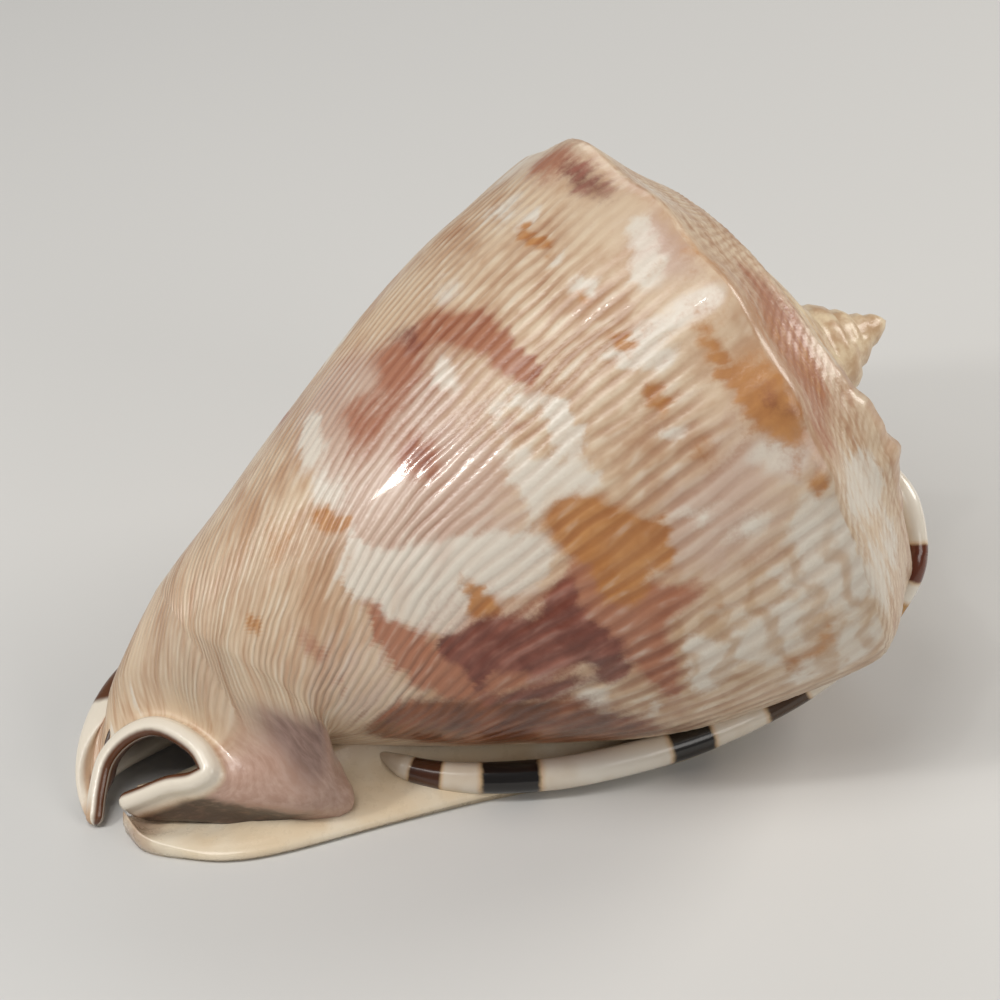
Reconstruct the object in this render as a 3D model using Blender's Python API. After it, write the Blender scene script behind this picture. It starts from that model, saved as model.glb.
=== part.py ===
"""A helmet shell (genus Cassis), one solid, resting on its aperture side.

+X runs from the siphonal canal to the apex, +Z is the back of the shell, +Y is the side of the
outer lip.  The floor is Z = 0.  Every proportion below is a fraction of the shell's length.

The body is one loft.  Each ring starts at the rim of the outer lip, runs over the back to the
columella, turns into the aperture, goes round the hollow and comes back along the face of the lip.
The parietal shield and the old lip (a former varix) are closed pieces, joined on by Boolean unions.
"""
import bpy
import bmesh
import numpy as np
from math import cos, pi, radians, sin

LENGTH = 0.100              # metres, canal to apex

# ---- driving proportions, in shell lengths and degrees
AXIS_TILT = 13.65           # the coiling axis rises toward the apex
AXIS_RISE = 0.110           # height of the axis at the canal end
LIP_ANGLE = -33.7           # where the outer lip leaves the body, from +Y toward +Z
SHOULDER_RADIUS = 0.400     # at the lip
WHORL_GROWTH = 1.50         # radius gained in one turn
SPIRE_HEIGHT = 0.330        # shoulder to apex, at the lip
SPIRE_GROWTH = 2.00         # spire height gained in one turn
NECK_STATION = 0.100        # where the body profile starts
CLOSING_RADIUS = 0.267      # the spire takes over inside this radius
CLOSING_STATION = 0.815
BOX_MIDDLE = (0.4766, 0.0265)   # this point of the floor is the origin
RIM_THICKNESS = 0.022       # enamelled rim of the siphonal canal

# body profile: fraction of the way to the shoulder, fraction of the shoulder radius
PROFILE_AT = (0.00, 0.18, 0.42, 0.72, 1.00)
PROFILE_RADIUS = (0.17, 0.385, 0.62, 0.87, 1.00)

# spire profile: distance from the axis, station
SPIRE_RADIUS = (0.267, 0.160, 0.080, 0.040, 0.012, 0.000)
SPIRE_STATION = (0.815, 0.862, 0.918, 0.955, 0.990, 0.997)
SPIRE_LEAN = (0.030, 0.018) # sideways and upward drift of the apex

# shoulder knobs: growth angle back from the lip, height, half width in degrees
KNOBS = ((45, 0.008, 10), (73, 0.010, 11), (102, 0.014, 11), (129, 0.010, 9),
         (152, 0.015, 9), (172, 0.014, 8), (187, 0.010, 7))

# swelling of the shell behind the shoulder, on the old lip's side: growth angle, rise
SWELL_GROWTH = (0, 120, 160, 205, 247, 280, 320, 360)
SWELL_RISE = (0.000, 0.000, 0.018, 0.036, 0.056, 0.040, 0.010, 0.000)

# long edges of the aperture side, by ring from neck (0) through shoulder (1) to spire (2)
EDGE_AT = (0.00, 0.25, 0.50, 0.75, 1.00, 1.35, 2.00)
COLUMELLA_EDGE = ((0.100, -0.020, 0.045), (0.220, 0.020, 0.035), (0.370, 0.048, 0.030),
                  (0.520, 0.060, 0.030), (0.660, 0.060, 0.030), (0.765, 0.045, 0.045),
                  (0.800, 0.010, 0.070))
LIP_INNER_EDGE = ((0.100, 0.035, 0.028), (0.220, 0.075, 0.028), (0.370, 0.104, 0.028),
                  (0.520, 0.116, 0.028), (0.660, 0.112, 0.030), (0.765, 0.075, 0.045),
                  (0.800, 0.030, 0.070))
LIP_RIM = ((0.060, 0.125, 0.055), (0.190, 0.215, 0.045), (0.345, 0.282, 0.040),
           (0.500, 0.335, 0.040), (0.660, 0.366, 0.045), (0.760, 0.340, 0.075),
           (0.815, 0.235, 0.130))

# siphonal canal: the mouth's plane, and its rim from the lip's tip over the arch to the fold
MOUTH_CENTRE = (0.064, -0.033, 0.072)
MOUTH_NORMAL = (-0.621, -0.351, 0.701)
MOUTH_RIGHT = (0.491, -0.871, 0.000)
MOUTH_RIM = ((-0.033, -0.086), (-0.044, -0.059), (-0.051, -0.027), (-0.043, 0.000),
             (-0.017, 0.027), (0.026, 0.033), (0.059, 0.025), (0.073, 0.013),
             (0.065, 0.001), (0.035, -0.020), (0.012, -0.042), (-0.002, -0.055))

FASCIOLE_BULGE = (0.025, -0.045, -0.010)    # the ridge of former canals stands out this far
CANAL_WALL = 0.010          # wall of the canal behind the rim
SEAM_MERGE = 0.00003        # metres: points closer than this along the joins are one point
FLANK_BULGE = (-0.022, 0.012, 0.008)        # and the flank beside the lip this far

# parietal shield: margin and the line where it leaves the body above
SHIELD_MARGIN = ((0.020, -0.060, 0.008), (0.030, -0.098, 0.004), (0.066, -0.126, 0.004),
                 (0.110, -0.148, 0.004), (0.170, -0.158, 0.004), (0.290, -0.160, 0.005),
                 (0.400, -0.166, 0.008), (0.500, -0.178, 0.012), (0.620, -0.190, 0.016),
                 (0.720, -0.170, 0.030))
SHIELD_ROOT = ((0.045, -0.030, 0.030), (0.070, -0.045, 0.034), (0.110, -0.060, 0.036),
               (0.160, -0.070, 0.040), (0.220, -0.075, 0.048), (0.300, -0.075, 0.056),
               (0.400, -0.095, 0.060), (0.500, -0.120, 0.060), (0.610, -0.140, 0.060),
               (0.700, -0.120, 0.060))
SHIELD_INNER = ((0.050, -0.010, 0.016), (0.085, -0.012, 0.018), (0.130, -0.005, 0.020),
                (0.180, 0.005, 0.020), (0.240, 0.015, 0.020), (0.320, 0.025, 0.020),
                (0.420, 0.030, 0.020), (0.520, 0.030, 0.020), (0.620, 0.025, 0.022),
                (0.700, 0.010, 0.034))
SHIELD_EDGE = 0.008         # thickness of its free edge

# old lip: centre line of the roll and its radius
OLD_LIP = ((0.300, -0.080, 0.036, 0.010), (0.330, -0.118, 0.030, 0.014),
           (0.380, -0.150, 0.027, 0.017), (0.470, -0.180, 0.026, 0.018),
           (0.565, -0.192, 0.028, 0.018), (0.655, -0.196, 0.036, 0.018),
           (0.740, -0.200, 0.057, 0.018), (0.805, -0.208, 0.100, 0.018),
           (0.855, -0.213, 0.155, 0.018), (0.886, -0.206, 0.212, 0.018),
           (0.896, -0.165, 0.255, 0.017), (0.890, -0.110, 0.280, 0.012))

# ---- mesh density
OUTER_COLUMNS = 64
INNER_COLUMNS = 34
CANAL_RINGS = 9
BODY_RINGS = 13
LINING_RINGS = 4            # body rings over which the canal opens into the hollow
RAMP_RINGS = 7
SPIRE_RINGS = 10


def smooth_step(low, high, value):
    t = np.clip((value - low) / (high - low), 0.0, 1.0)
    return t * t * (3.0 - 2.0 * t)


def spline_through(at, stations, values):
    """Smooth curve through the values, each with the mean slope of its two sides."""
    stations = np.asarray(stations, float)
    values = np.asarray(values, float)
    flat = values.ndim == 1
    values = values.reshape(len(stations), -1)
    gaps = np.diff(stations)[:, None]
    slopes = np.diff(values, axis=0) / gaps
    tangents = np.vstack([slopes[:1], np.zeros((len(stations) - 2, values.shape[1])), slopes[-1:]])
    tangents[1:-1] = (slopes[:-1] * gaps[1:] + slopes[1:] * gaps[:-1]) / (gaps[1:] + gaps[:-1])
    at = np.clip(np.asarray(at, float), stations[0], stations[-1])
    span = np.clip(np.searchsorted(stations, at, side="right") - 1, 0, len(stations) - 2)
    gap = gaps[span]
    t = (at - stations[span])[..., None] / gap
    result = hermite(t, values[span], tangents[span] * gap, values[span + 1], tangents[span + 1] * gap)
    return result[..., 0] if flat else result


def hermite(t, start, start_slope, end, end_slope):
    return ((2 * t ** 3 - 3 * t ** 2 + 1) * start + (t ** 3 - 2 * t ** 2 + t) * start_slope
            + (3 * t ** 2 - 2 * t ** 3) * end + (t ** 3 - t ** 2) * end_slope)


def unit(vectors):
    vectors = np.asarray(vectors, float)
    return vectors / np.maximum(np.linalg.norm(vectors, axis=-1, keepdims=True), 1e-9)


# ---- the coiled wall
def knob_height(growth, ring):
    across = np.where(ring < 1, (ring - 1) / 0.16, (ring - 1) / 0.42)
    height = 0.0 * growth
    for angle, tall, wide in KNOBS:
        height = height + tall * np.exp(-((growth - angle) / wide) ** 2 - across ** 2)
    return height


def wall(growth, ring):
    """Station along the axis and radius: ring 0 neck, 1 shoulder, 2 spire begins, 3 apex."""
    growth, ring = np.broadcast_arrays(np.asarray(growth, float), np.asarray(ring, float))
    swell = spline_through(growth, SWELL_GROWTH, SWELL_RISE)
    shoulder = SHOULDER_RADIUS * WHORL_GROWTH ** (-growth / 360.0)
    shoulder_at = 1.0 - SPIRE_HEIGHT * SPIRE_GROWTH ** (-growth / 360.0)
    below = np.clip(ring, 0, 1)
    ramp = np.clip(ring - 1, 0, 1)
    station = NECK_STATION + (shoulder_at - NECK_STATION) * below
    station = station + (CLOSING_STATION + swell - shoulder_at) * (1 - (1 - ramp) ** 1.15)
    radius = shoulder * spline_through(below, PROFILE_AT, PROFILE_RADIUS)
    radius = radius + (CLOSING_RADIUS - shoulder) * ramp ** 0.85
    old_side = smooth_step(180, 240, growth) * smooth_step(0.1, 0.4, ring)
    old_side = old_side - 0.6 * smooth_step(225, 250, growth) * smooth_step(0.6, 1.0, ring)
    radius = radius * (1 + 0.12 * old_side * (1 - smooth_step(1.2, 2.0, ring)))
    lip_side = (1 - smooth_step(80, 150, growth)) * (1 - smooth_step(0.02, 0.20, ring))
    radius = radius * (1 + 0.20 * lip_side)
    knob = knob_height(growth, ring)
    spire = CLOSING_RADIUS * (1 - np.clip(ring - 2, 0, 1))
    spire_at = spline_through(-spire, [-r for r in SPIRE_RADIUS], SPIRE_STATION)
    spire_at = spire_at + swell * smooth_step(0.06, 0.25, spire)
    station = np.where(ring > 2, spire_at, station + 0.35 * knob)
    radius = np.where(ring > 2, spire, radius + 0.9 * knob)
    return station, radius


def place(station, y, z):
    """From the axis frame to the resting frame."""
    c, s = cos(radians(AXIS_TILT)), sin(radians(AXIS_TILT))
    lean = smooth_step(0.72, 1.0, station)
    return np.stack([station * c - z * s, y + SPIRE_LEAN[0] * lean,
                     station * s + z * c + AXIS_RISE + SPIRE_LEAN[1] * lean], -1)


def wall_point(growth, ring, depth=1.0):
    station, radius = wall(growth, ring)
    angle = np.radians(LIP_ANGLE + np.asarray(growth, float))
    return place(station, depth * radius * np.cos(angle), depth * radius * np.sin(angle))


# ---- the siphonal canal's mouth
def mouth_point(along, turn):
    """A point on the rolled rim: turn 0 is its outer side, 90 the crest, 180 the inner side."""
    normal = unit(MOUTH_NORMAL)
    right = unit(np.asarray(MOUTH_RIGHT) - normal * np.dot(MOUTH_RIGHT, normal))
    up = np.cross(normal, right)
    rim = np.asarray(MOUTH_RIM, float)
    reach = np.concatenate([[0.0], np.cumsum(np.linalg.norm(np.diff(rim, axis=0), axis=1))])
    half = RIM_THICKNESS / 2
    travel = np.asarray(along, float) * (reach[-1] + 2 * half) - half
    inside = np.clip(travel, 0, reach[-1])
    step = 1e-3
    ahead = spline_through(np.clip(inside + step, 0, reach[-1]), reach, rim)
    behind = spline_through(np.clip(inside - step, 0, reach[-1]), reach, rim)
    heading = unit(ahead - behind)
    outward = np.stack([-heading[:, 1], heading[:, 0]], -1)
    centre = spline_through(inside, reach, rim) + heading * (travel - inside)[:, None]
    beyond = np.abs(travel - inside) / half
    width = half * np.sqrt(np.clip(1 - beyond ** 2, 0, 1))
    flat = centre + outward * (width * cos(radians(turn)))[:, None]
    return (np.asarray(MOUTH_CENTRE) + flat[:, :1] * right + flat[:, 1:] * up
            + normal * (width * sin(radians(turn)))[:, None])


# ---- rings of the body
LIP_BACK, WALL_END = 0.08, 0.86     # shares of the outer columns
WALL_FROM, WALL_TO = 8.0, 250.0     # growth angles of the free wall
COLUMELLA_GROWTH = 304.0            # growth angle under the columella edge


def neck_ring(share):
    """Ring at which the canal hands over to the body: later on the columella side."""
    return 0.05 + 0.13 * smooth_step(0.45, 0.80, share)


def edge_point(table, ring):
    return spline_through(ring, EDGE_AT, table)


def bezier(t, a, b, c, d):
    t = np.asarray(t)[..., None]
    return (1 - t) ** 3 * a + 3 * t * (1 - t) ** 2 * b + 3 * t * t * (1 - t) * c + t ** 3 * d


def column_growth(share):
    inside = WALL_FROM + (WALL_TO - WALL_FROM) * (share - LIP_BACK) / (WALL_END - LIP_BACK)
    before = WALL_FROM * share / LIP_BACK
    after = WALL_TO + (COLUMELLA_GROWTH - WALL_TO) * (share - WALL_END) / (1 - WALL_END)
    return np.where(share < LIP_BACK, before, np.where(share > WALL_END, after, inside))


def outer_point(share, ring):
    """One point of the outer half: 0 lip rim, then over the back, 1 columella edge."""
    coiled = wall_point(column_growth(share), ring)
    if LIP_BACK <= share <= WALL_END or ring >= 2:
        return coiled
    if share < LIP_BACK:
        rim = edge_point(LIP_RIM, ring)
        root = wall_point(WALL_FROM, ring)
        leave = unit(root - wall_point(WALL_FROM + 2, ring))
        gap = np.linalg.norm(rim - root)
        shaped = bezier(share / LIP_BACK, rim, rim + np.array([0, 0.25, 0.75]) * gap * 0.55,
                        root + leave * gap * 0.35, root)
    else:
        edge = edge_point(COLUMELLA_EDGE, ring)
        root = wall_point(WALL_TO, ring)
        leave = unit(root - wall_point(WALL_TO - 2, ring))
        gap = np.linalg.norm(edge - root)
        shaped = bezier((share - WALL_END) / (1 - WALL_END), root, root + leave * gap * 0.38,
                        edge + np.array([0, -1, -0.05]) * gap * 0.45, edge)
    return shaped + (coiled - shaped) * smooth_step(1.1, 2.0, ring)


# hollow of the last whorl: share of the way round it, growth angle, depth (fraction of radius)
HOLLOW = ((0.14, 12, 0.52), (0.22, 40, 0.47), (0.34, 90, 0.47), (0.46, 150, 0.55),
          (0.52, 158, 0.72), (0.58, 150, 0.88), (0.68, 90, 0.91), (0.78, 40, 0.915),
          (0.85, 14, 0.90), (0.90, 6, 0.80))
LIP_BLEND = (0.56, 0.70)    # shares over which the canal's lining turns into the lip's face
LIP_FACE = 0.80             # share of the inner columns where the lip's flat face begins


def inner_point(share, ring):
    """One point of the inner half: 0 columella edge, round the hollow, lip face, 1 lip rim."""
    growth = COLUMELLA_GROWTH + (360 - COLUMELLA_GROWTH) * share
    coiled = wall_point(growth, ring)
    if ring >= 2:
        return coiled
    edge = edge_point(COLUMELLA_EDGE, ring)
    lip = edge_point(LIP_INNER_EDGE, ring)
    rim = edge_point(LIP_RIM, ring)
    if share > LIP_FACE:
        gap = np.linalg.norm(rim - lip)
        shaped = bezier((share - LIP_FACE) / (1 - LIP_FACE), lip,
                        lip + np.array([0, 0.12 * gap, -1.6 * lip[2]]),
                        rim + np.array([0, -0.30 * gap, -1.6 * rim[2]]), rim)
    else:
        at = [0.0, 0.05] + [row[0] for row in HOLLOW] + [0.96, 1.0]
        points = [edge, edge + np.array([0, 0.006, 0.03])]
        points += [wall_point(angle, ring, depth) for _, angle, depth in HOLLOW]
        points += [lip + np.array([0, 0.012, 0.022]), lip]
        points = np.array(points)
        closed = np.linspace(0, 1, len(points))[:, None]
        bridge = edge + (lip - edge) * closed + np.array([0, 0, 0.012]) * np.sin(pi * closed)
        points = points + (bridge - points) * smooth_step(0.95, 1.40, ring)
        shaped = spline_through(share / LIP_FACE, at, points)
    return shaped + (coiled - shaped) * smooth_step(1.1, 2.0, ring)


MOUTH_SHARE_OUTER = ((0.00, 0.08, 0.40, 0.62, 0.86, 1.00), (0.00, 0.09, 0.42, 0.60, 0.82, 1.00))
MOUTH_SHARE_INNER = ((0.00, 0.112, 0.27, 0.416, 0.464, 0.544, 0.624, 0.68, 0.80, 1.00),
                     (1.00, 0.93, 0.80, 0.66, 0.60, 0.40, 0.22, 0.12, 0.03, 0.00))


def canal_row(t, mouth, along, neck, neck_slope):
    """Rows between the mouth and the neck, leaving the mouth inward and turning along the shell."""
    gap = np.linalg.norm(neck - mouth, axis=1, keepdims=True)
    inward = np.broadcast_to(-unit(MOUTH_NORMAL), mouth.shape)
    lip_way = np.array([-0.15, 0.93, 0.30])
    fold_way = unit(np.array([0.55, -0.55, -0.60]))
    lip_share = (1 - smooth_step(0.02, 0.16, along))[:, None]
    fold_share = (0.8 * smooth_step(0.52, 0.75, along))[:, None]
    start = unit(inward * (1 - lip_share) + lip_way * lip_share)
    start = unit(start * (1 - fold_share) + fold_way * fold_share)
    bulge = (smooth_step(0.50, 0.70, along) * (1 - 0.6 * smooth_step(0.85, 1.0, along)))[:, None]
    flank = (smooth_step(0.02, 0.12, along) * (1 - smooth_step(0.30, 0.50, along)))[:, None]
    swelling = np.array(FASCIOLE_BULGE) * bulge + np.array(FLANK_BULGE) * flank
    return 16 * (t * (1 - t)) ** 2 * swelling + hermite(t, mouth, start * gap * 1.1, neck, unit(neck_slope) * gap)


def outer_rows(shares, along):
    """Rows of the outer half, from the canal's mouth to the apex."""
    starts = neck_ring(shares)
    neck = np.array([outer_point(s, v) for s, v in zip(shares, starts)])
    ahead = np.array([outer_point(s, v + 0.02) for s, v in zip(shares, starts)])
    mouth = mouth_point(along, 0)
    rows = [canal_row(t, mouth, along, neck, ahead - neck)
            for t in np.linspace(0, 1, CANAL_RINGS + 1)[:-1]]
    for ways in body_rings(starts):
        rows.append(np.array([outer_point(s, v) for s, v in zip(shares, ways)]))
    return np.array(rows)


def inner_rows(shares, along, outer, outer_shares):
    """Rows of the inner half.  In the canal they lie one rim's thickness inside the outer rows."""
    same = np.interp(along, *MOUTH_SHARE_OUTER[::-1])
    starts = neck_ring(same)
    lining = canal_lining(same, along, outer, outer_shares)
    lining[0] = mouth_point(along, 180)
    neck = np.array([inner_point(s, v) for s, v in zip(shares, starts)])
    ahead = np.array([inner_point(s, v + 0.02) for s, v in zip(shares, starts)])
    on_lip = smooth_step(LIP_BLEND[0], LIP_BLEND[1], shares)[:, None]
    rows = []
    for count in range(CANAL_RINGS):
        face = canal_row(count / CANAL_RINGS, lining[0], along, neck, ahead - neck)
        rows.append(lining[count] * (1 - on_lip) + face * on_lip)
    for count, ways in enumerate(body_rings(starts)):
        hollow = np.array([inner_point(s, v) for s, v in zip(shares, ways)])
        ease = np.maximum(smooth_step(0, LINING_RINGS, count), on_lip)
        rows.append(lining[CANAL_RINGS + count] * (1 - ease) + hollow * ease)
    return np.array(rows)


def canal_lining(same, along, outer, outer_shares):
    """The outer rows moved inward along their normals, tapering to nothing at the two edges."""
    down = np.gradient(outer, axis=0)
    across = np.gradient(outer, axis=1)
    normals = unit(np.cross(down, across))
    lining = []
    edge = np.clip(np.minimum(along, 1 - along) / 0.05, 0, 1)
    taper = np.sqrt(1 - (1 - edge) ** 2)[:, None]
    thickness = np.interp(np.arange(len(outer)), (0, 2), (RIM_THICKNESS, CANAL_WALL))
    for row, normal, thick in zip(outer, normals, thickness):
        at = np.stack([np.interp(same, outer_shares, row[:, i]) for i in range(3)], -1)
        inward = np.stack([np.interp(same, outer_shares, normal[:, i]) for i in range(3)], -1)
        lining.append(at + unit(inward) * thick * taper)
    return np.array(lining)


def body_rings(starts):
    """Ring values of every column: neck to shoulder, over the ramp, then up the spire."""
    for way in np.linspace(0, 1, BODY_RINGS + 1)[:-1]:
        yield starts + (1 - starts) * way
    for ring in np.linspace(1, 2, RAMP_RINGS + 1)[:-1]:
        yield np.full_like(starts, ring)
    for left in np.linspace(1, 0, SPIRE_RINGS + 1)[:-1]:
        yield np.full_like(starts, 3 - left ** 1.3)


def body_object():
    outer_shares = np.linspace(0, 1, OUTER_COLUMNS + 1)
    inner_shares = np.linspace(0, 1, INNER_COLUMNS + 1)
    outer_along = spline_through(outer_shares, *MOUTH_SHARE_OUTER)
    inner_along = spline_through(inner_shares, *MOUTH_SHARE_INNER)
    outer = outer_rows(outer_shares, outer_along)
    inner = inner_rows(inner_shares, inner_along, outer, outer_shares)
    mesh = bmesh.new()

    def ring_of(a, b):
        return [mesh.verts.new(p) for p in np.vstack([a, b[1:-1]])]

    rings = [ring_of(a, b) for a, b in zip(outer, inner)]
    for low, high in zip(rings, rings[1:]):
        for i in range(len(low)):
            j = (i + 1) % len(low)
            mesh.faces.new((low[i], high[i], high[j], low[j]))
    apex = mesh.verts.new(wall_point(0.0, 3.0))
    last = rings[-1]
    for i in range(len(last)):
        mesh.faces.new((last[i], apex, last[(i + 1) % len(last)]))
    close_mouth(mesh, rings[0], outer_along, inner_along)
    bmesh.ops.remove_doubles(mesh, verts=mesh.verts, dist=2e-5)
    return finished_object(mesh, "shell")


def close_mouth(mesh, ring, outer_along, inner_along):
    """The rolled rim, from the outer edge over the crest to the inner edge."""
    count = len(outer_along)
    outer = ring[:count]
    inner = [ring[count - 1]] + ring[count:] + [ring[0]]
    for turn in (45, 90):
        crest = [mesh.verts.new(p) for p in mouth_point(outer_along, turn)]
        crest[0], crest[-1] = outer[0], outer[-1]
        for i in range(count - 1):
            corners = (outer[i], outer[i + 1], crest[i + 1], crest[i])
            mesh.faces.new(dict.fromkeys(corners))
        outer = crest
    middle = [mesh.verts.new(p) for p in mouth_point(inner_along, 135)]
    middle[0], middle[-1] = inner[0], inner[-1]
    for i in range(len(inner) - 1):
        mesh.faces.new(dict.fromkeys((inner[i], inner[i + 1], middle[i + 1], middle[i])))
    middle = middle[::-1]
    along = inner_along[::-1]
    i = j = 0
    while i < count - 1 or j < len(middle) - 1:
        outer_next = outer_along[i + 1] if i < count - 1 else 2.0
        inner_next = along[j + 1] if j < len(middle) - 1 else 2.0
        if outer_next <= inner_next:
            corners = (outer[i], outer[i + 1], middle[j])
            i += 1
        else:
            corners = (outer[i], middle[j + 1], middle[j])
            j += 1
        if len(set(corners)) == 3:
            mesh.faces.new(corners)


# ---- shield and old lip
def shield_object():
    """A sheet of enamel from the columella to a free margin, concave above and flat below."""
    count = 22
    way = np.linspace(0, 1, count)
    knots = np.linspace(0, 1, len(SHIELD_MARGIN))
    margin = spline_through(way, knots, SHIELD_MARGIN)
    root = spline_through(way, knots, SHIELD_ROOT)
    inner = spline_through(way, knots, SHIELD_INNER)
    mesh = bmesh.new()
    sections = []
    for m, r, n in zip(margin, root, inner):
        lift = np.array([0, 0, SHIELD_EDGE])
        over = unit(m - r) * SHIELD_EDGE * 0.5
        upper = bezier(np.linspace(0, 1, 6), r, r + (m - r) * 0.35 - [0, 0, 0.6 * (r[2] - m[2])],
                       m + (r - m) * 0.35 + lift, m + lift)
        under = [m * [1, 1, 0] + over * [1, 1, 0] + [0, 0, m[2] + SHIELD_EDGE / 2],
                 m * [1, 1, 0], n * [1, 1, 0] + (m - n) * [0.5, 0.5, 0], n * [1, 1, 0], n, (n + r) / 2]
        sections.append([mesh.verts.new(p) for p in list(upper) + under])
    skin(mesh, sections)
    return finished_object(mesh, "shield")


def old_lip_object():
    path = np.asarray(OLD_LIP, float)
    way = np.linspace(0, 1, 40)
    line = spline_through(way, np.linspace(0, 1, len(path)), path)
    heading = unit(np.gradient(line[:, :3], axis=0))
    mesh = bmesh.new()
    sections = []
    for point, forward in zip(line, heading):
        side = unit(np.cross(forward, [0.25, 0.5, 0.85]))
        up = np.cross(side, forward)
        turns = np.linspace(0, 2 * pi, 11)[:-1]
        sections.append([mesh.verts.new(point[:3] + point[3] * (cos(t) * side + sin(t) * up))
                         for t in turns])
    skin(mesh, sections)
    return finished_object(mesh, "old_lip")


def skin(mesh, sections):
    for low, high in zip(sections, sections[1:]):
        for i in range(len(low)):
            j = (i + 1) % len(low)
            mesh.faces.new((low[i], low[j], high[j], high[i]))
    mesh.faces.new(sections[0])
    mesh.faces.new(sections[-1])


def finished_object(mesh, name):
    """Scale to metres, press what would lie below the floor flat onto it, face outward."""
    for vertex in mesh.verts:
        x, y, z = vertex.co
        vertex.co = (x - BOX_MIDDLE[0], y - BOX_MIDDLE[1], max(z, 0.0))
        vertex.co *= LENGTH
    bmesh.ops.recalc_face_normals(mesh, faces=mesh.faces)
    bmesh.ops.triangulate(mesh, faces=mesh.faces)
    data = bpy.data.meshes.new(name)
    mesh.to_mesh(data)
    mesh.free()
    data.shade_smooth()
    made = bpy.data.objects.new(name, data)
    bpy.context.scene.collection.objects.link(made)
    return made


def join_on(base, extra):
    union = base.modifiers.new("join_" + extra.name, "BOOLEAN")
    union.operation = "UNION"
    union.solver = "EXACT"
    union.use_self = True
    union.object = extra
    extra.hide_render = True
    extra.display_type = "WIRE"


def shell_material():
    material = bpy.data.materials.new("glazed_shell")
    material.use_nodes = True
    shader = material.node_tree.nodes["Principled BSDF"]
    shader.inputs["Base Color"].default_value = (0.62, 0.42, 0.28, 1.0)
    shader.inputs["Roughness"].default_value = 0.3
    shader.inputs["Metallic"].default_value = 0.0
    return material


def main():
    for old in list(bpy.data.objects):
        bpy.data.objects.remove(old)
    shell = body_object()
    shell.data.materials.append(shell_material())
    for extra in (shield_object(), old_lip_object()):
        join_on(shell, extra)
    weld = shell.modifiers.new("merge_points_along_the_joins", "WELD")
    weld.merge_threshold = SEAM_MERGE


main()
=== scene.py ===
"""A helmet shell (genus Cassis), dressed over its solid.

+X runs from the siphonal canal to the apex, +Z is the back of the shell, +Y is the side of the
outer lip.  Forms are in shell lengths; growth angles are degrees back from the outer lip; ring is
0 at the neck, 1 at the shoulder, 2 where the spire begins and 3 at the apex.
"""
from math import cos, pi, radians, sin
from types import SimpleNamespace

import bmesh
import bpy
import numpy as np
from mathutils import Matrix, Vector


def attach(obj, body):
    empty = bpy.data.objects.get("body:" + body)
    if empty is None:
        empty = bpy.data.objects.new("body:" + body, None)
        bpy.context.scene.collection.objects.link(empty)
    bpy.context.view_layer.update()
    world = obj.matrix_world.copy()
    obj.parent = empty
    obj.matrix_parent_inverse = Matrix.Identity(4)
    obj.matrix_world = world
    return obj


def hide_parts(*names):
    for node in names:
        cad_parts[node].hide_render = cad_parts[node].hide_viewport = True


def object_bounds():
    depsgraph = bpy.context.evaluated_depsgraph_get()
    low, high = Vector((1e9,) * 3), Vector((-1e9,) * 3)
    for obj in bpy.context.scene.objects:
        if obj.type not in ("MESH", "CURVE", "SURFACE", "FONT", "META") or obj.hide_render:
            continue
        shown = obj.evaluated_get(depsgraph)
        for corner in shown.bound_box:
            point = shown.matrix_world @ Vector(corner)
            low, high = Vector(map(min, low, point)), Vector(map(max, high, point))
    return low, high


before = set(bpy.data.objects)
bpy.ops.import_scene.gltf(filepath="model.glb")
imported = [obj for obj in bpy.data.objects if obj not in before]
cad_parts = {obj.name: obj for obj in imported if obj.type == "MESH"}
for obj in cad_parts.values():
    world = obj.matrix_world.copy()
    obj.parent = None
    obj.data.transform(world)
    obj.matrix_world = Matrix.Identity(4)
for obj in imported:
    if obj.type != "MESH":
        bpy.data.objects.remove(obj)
cad_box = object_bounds()

BOX_LENGTH = 0.9845         # of the resting solid, in shell lengths
LENGTH = (cad_box[1].x - cad_box[0].x) / BOX_LENGTH     # metres, canal to apex

# ---- driving proportions of the shell, as in the solid
AXIS_TILT = 13.65
AXIS_RISE = 0.110
LIP_ANGLE = -33.7
SHOULDER_RADIUS = 0.400
WHORL_GROWTH = 1.50
SPIRE_HEIGHT = 0.330
SPIRE_GROWTH = 2.00
NECK_STATION = 0.100
CLOSING_RADIUS = 0.267
CLOSING_STATION = 0.815
BOX_MIDDLE = (0.4766, 0.0265)
RIM_THICKNESS = 0.022
CANAL_WALL = 0.010
CANAL_RINGS = 0.16          # how far ring runs on below the neck, over the canal

PROFILE_AT = (0.00, 0.18, 0.42, 0.72, 1.00)
PROFILE_RADIUS = (0.17, 0.385, 0.62, 0.87, 1.00)
SPIRE_RADIUS = (0.267, 0.160, 0.080, 0.040, 0.012, 0.000)
SPIRE_STATION = (0.815, 0.862, 0.918, 0.955, 0.990, 0.997)
SPIRE_LEAN = (0.030, 0.018)
KNOB_REACH = (0.16, 0.42)   # rings that a knob reaches down and up from the shoulder
KNOB_SPARED = 0.012         # a knob this tall keeps its shape where the shoulder is worn round
KNOBS = ((45, 0.008, 10), (73, 0.010, 11), (102, 0.014, 11), (129, 0.010, 9),
         (152, 0.015, 9), (172, 0.014, 8), (187, 0.010, 7))
SWELL_GROWTH = (0, 120, 160, 205, 247, 280, 320, 360)
SWELL_RISE = (0.000, 0.000, 0.018, 0.036, 0.056, 0.040, 0.010, 0.000)

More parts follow.
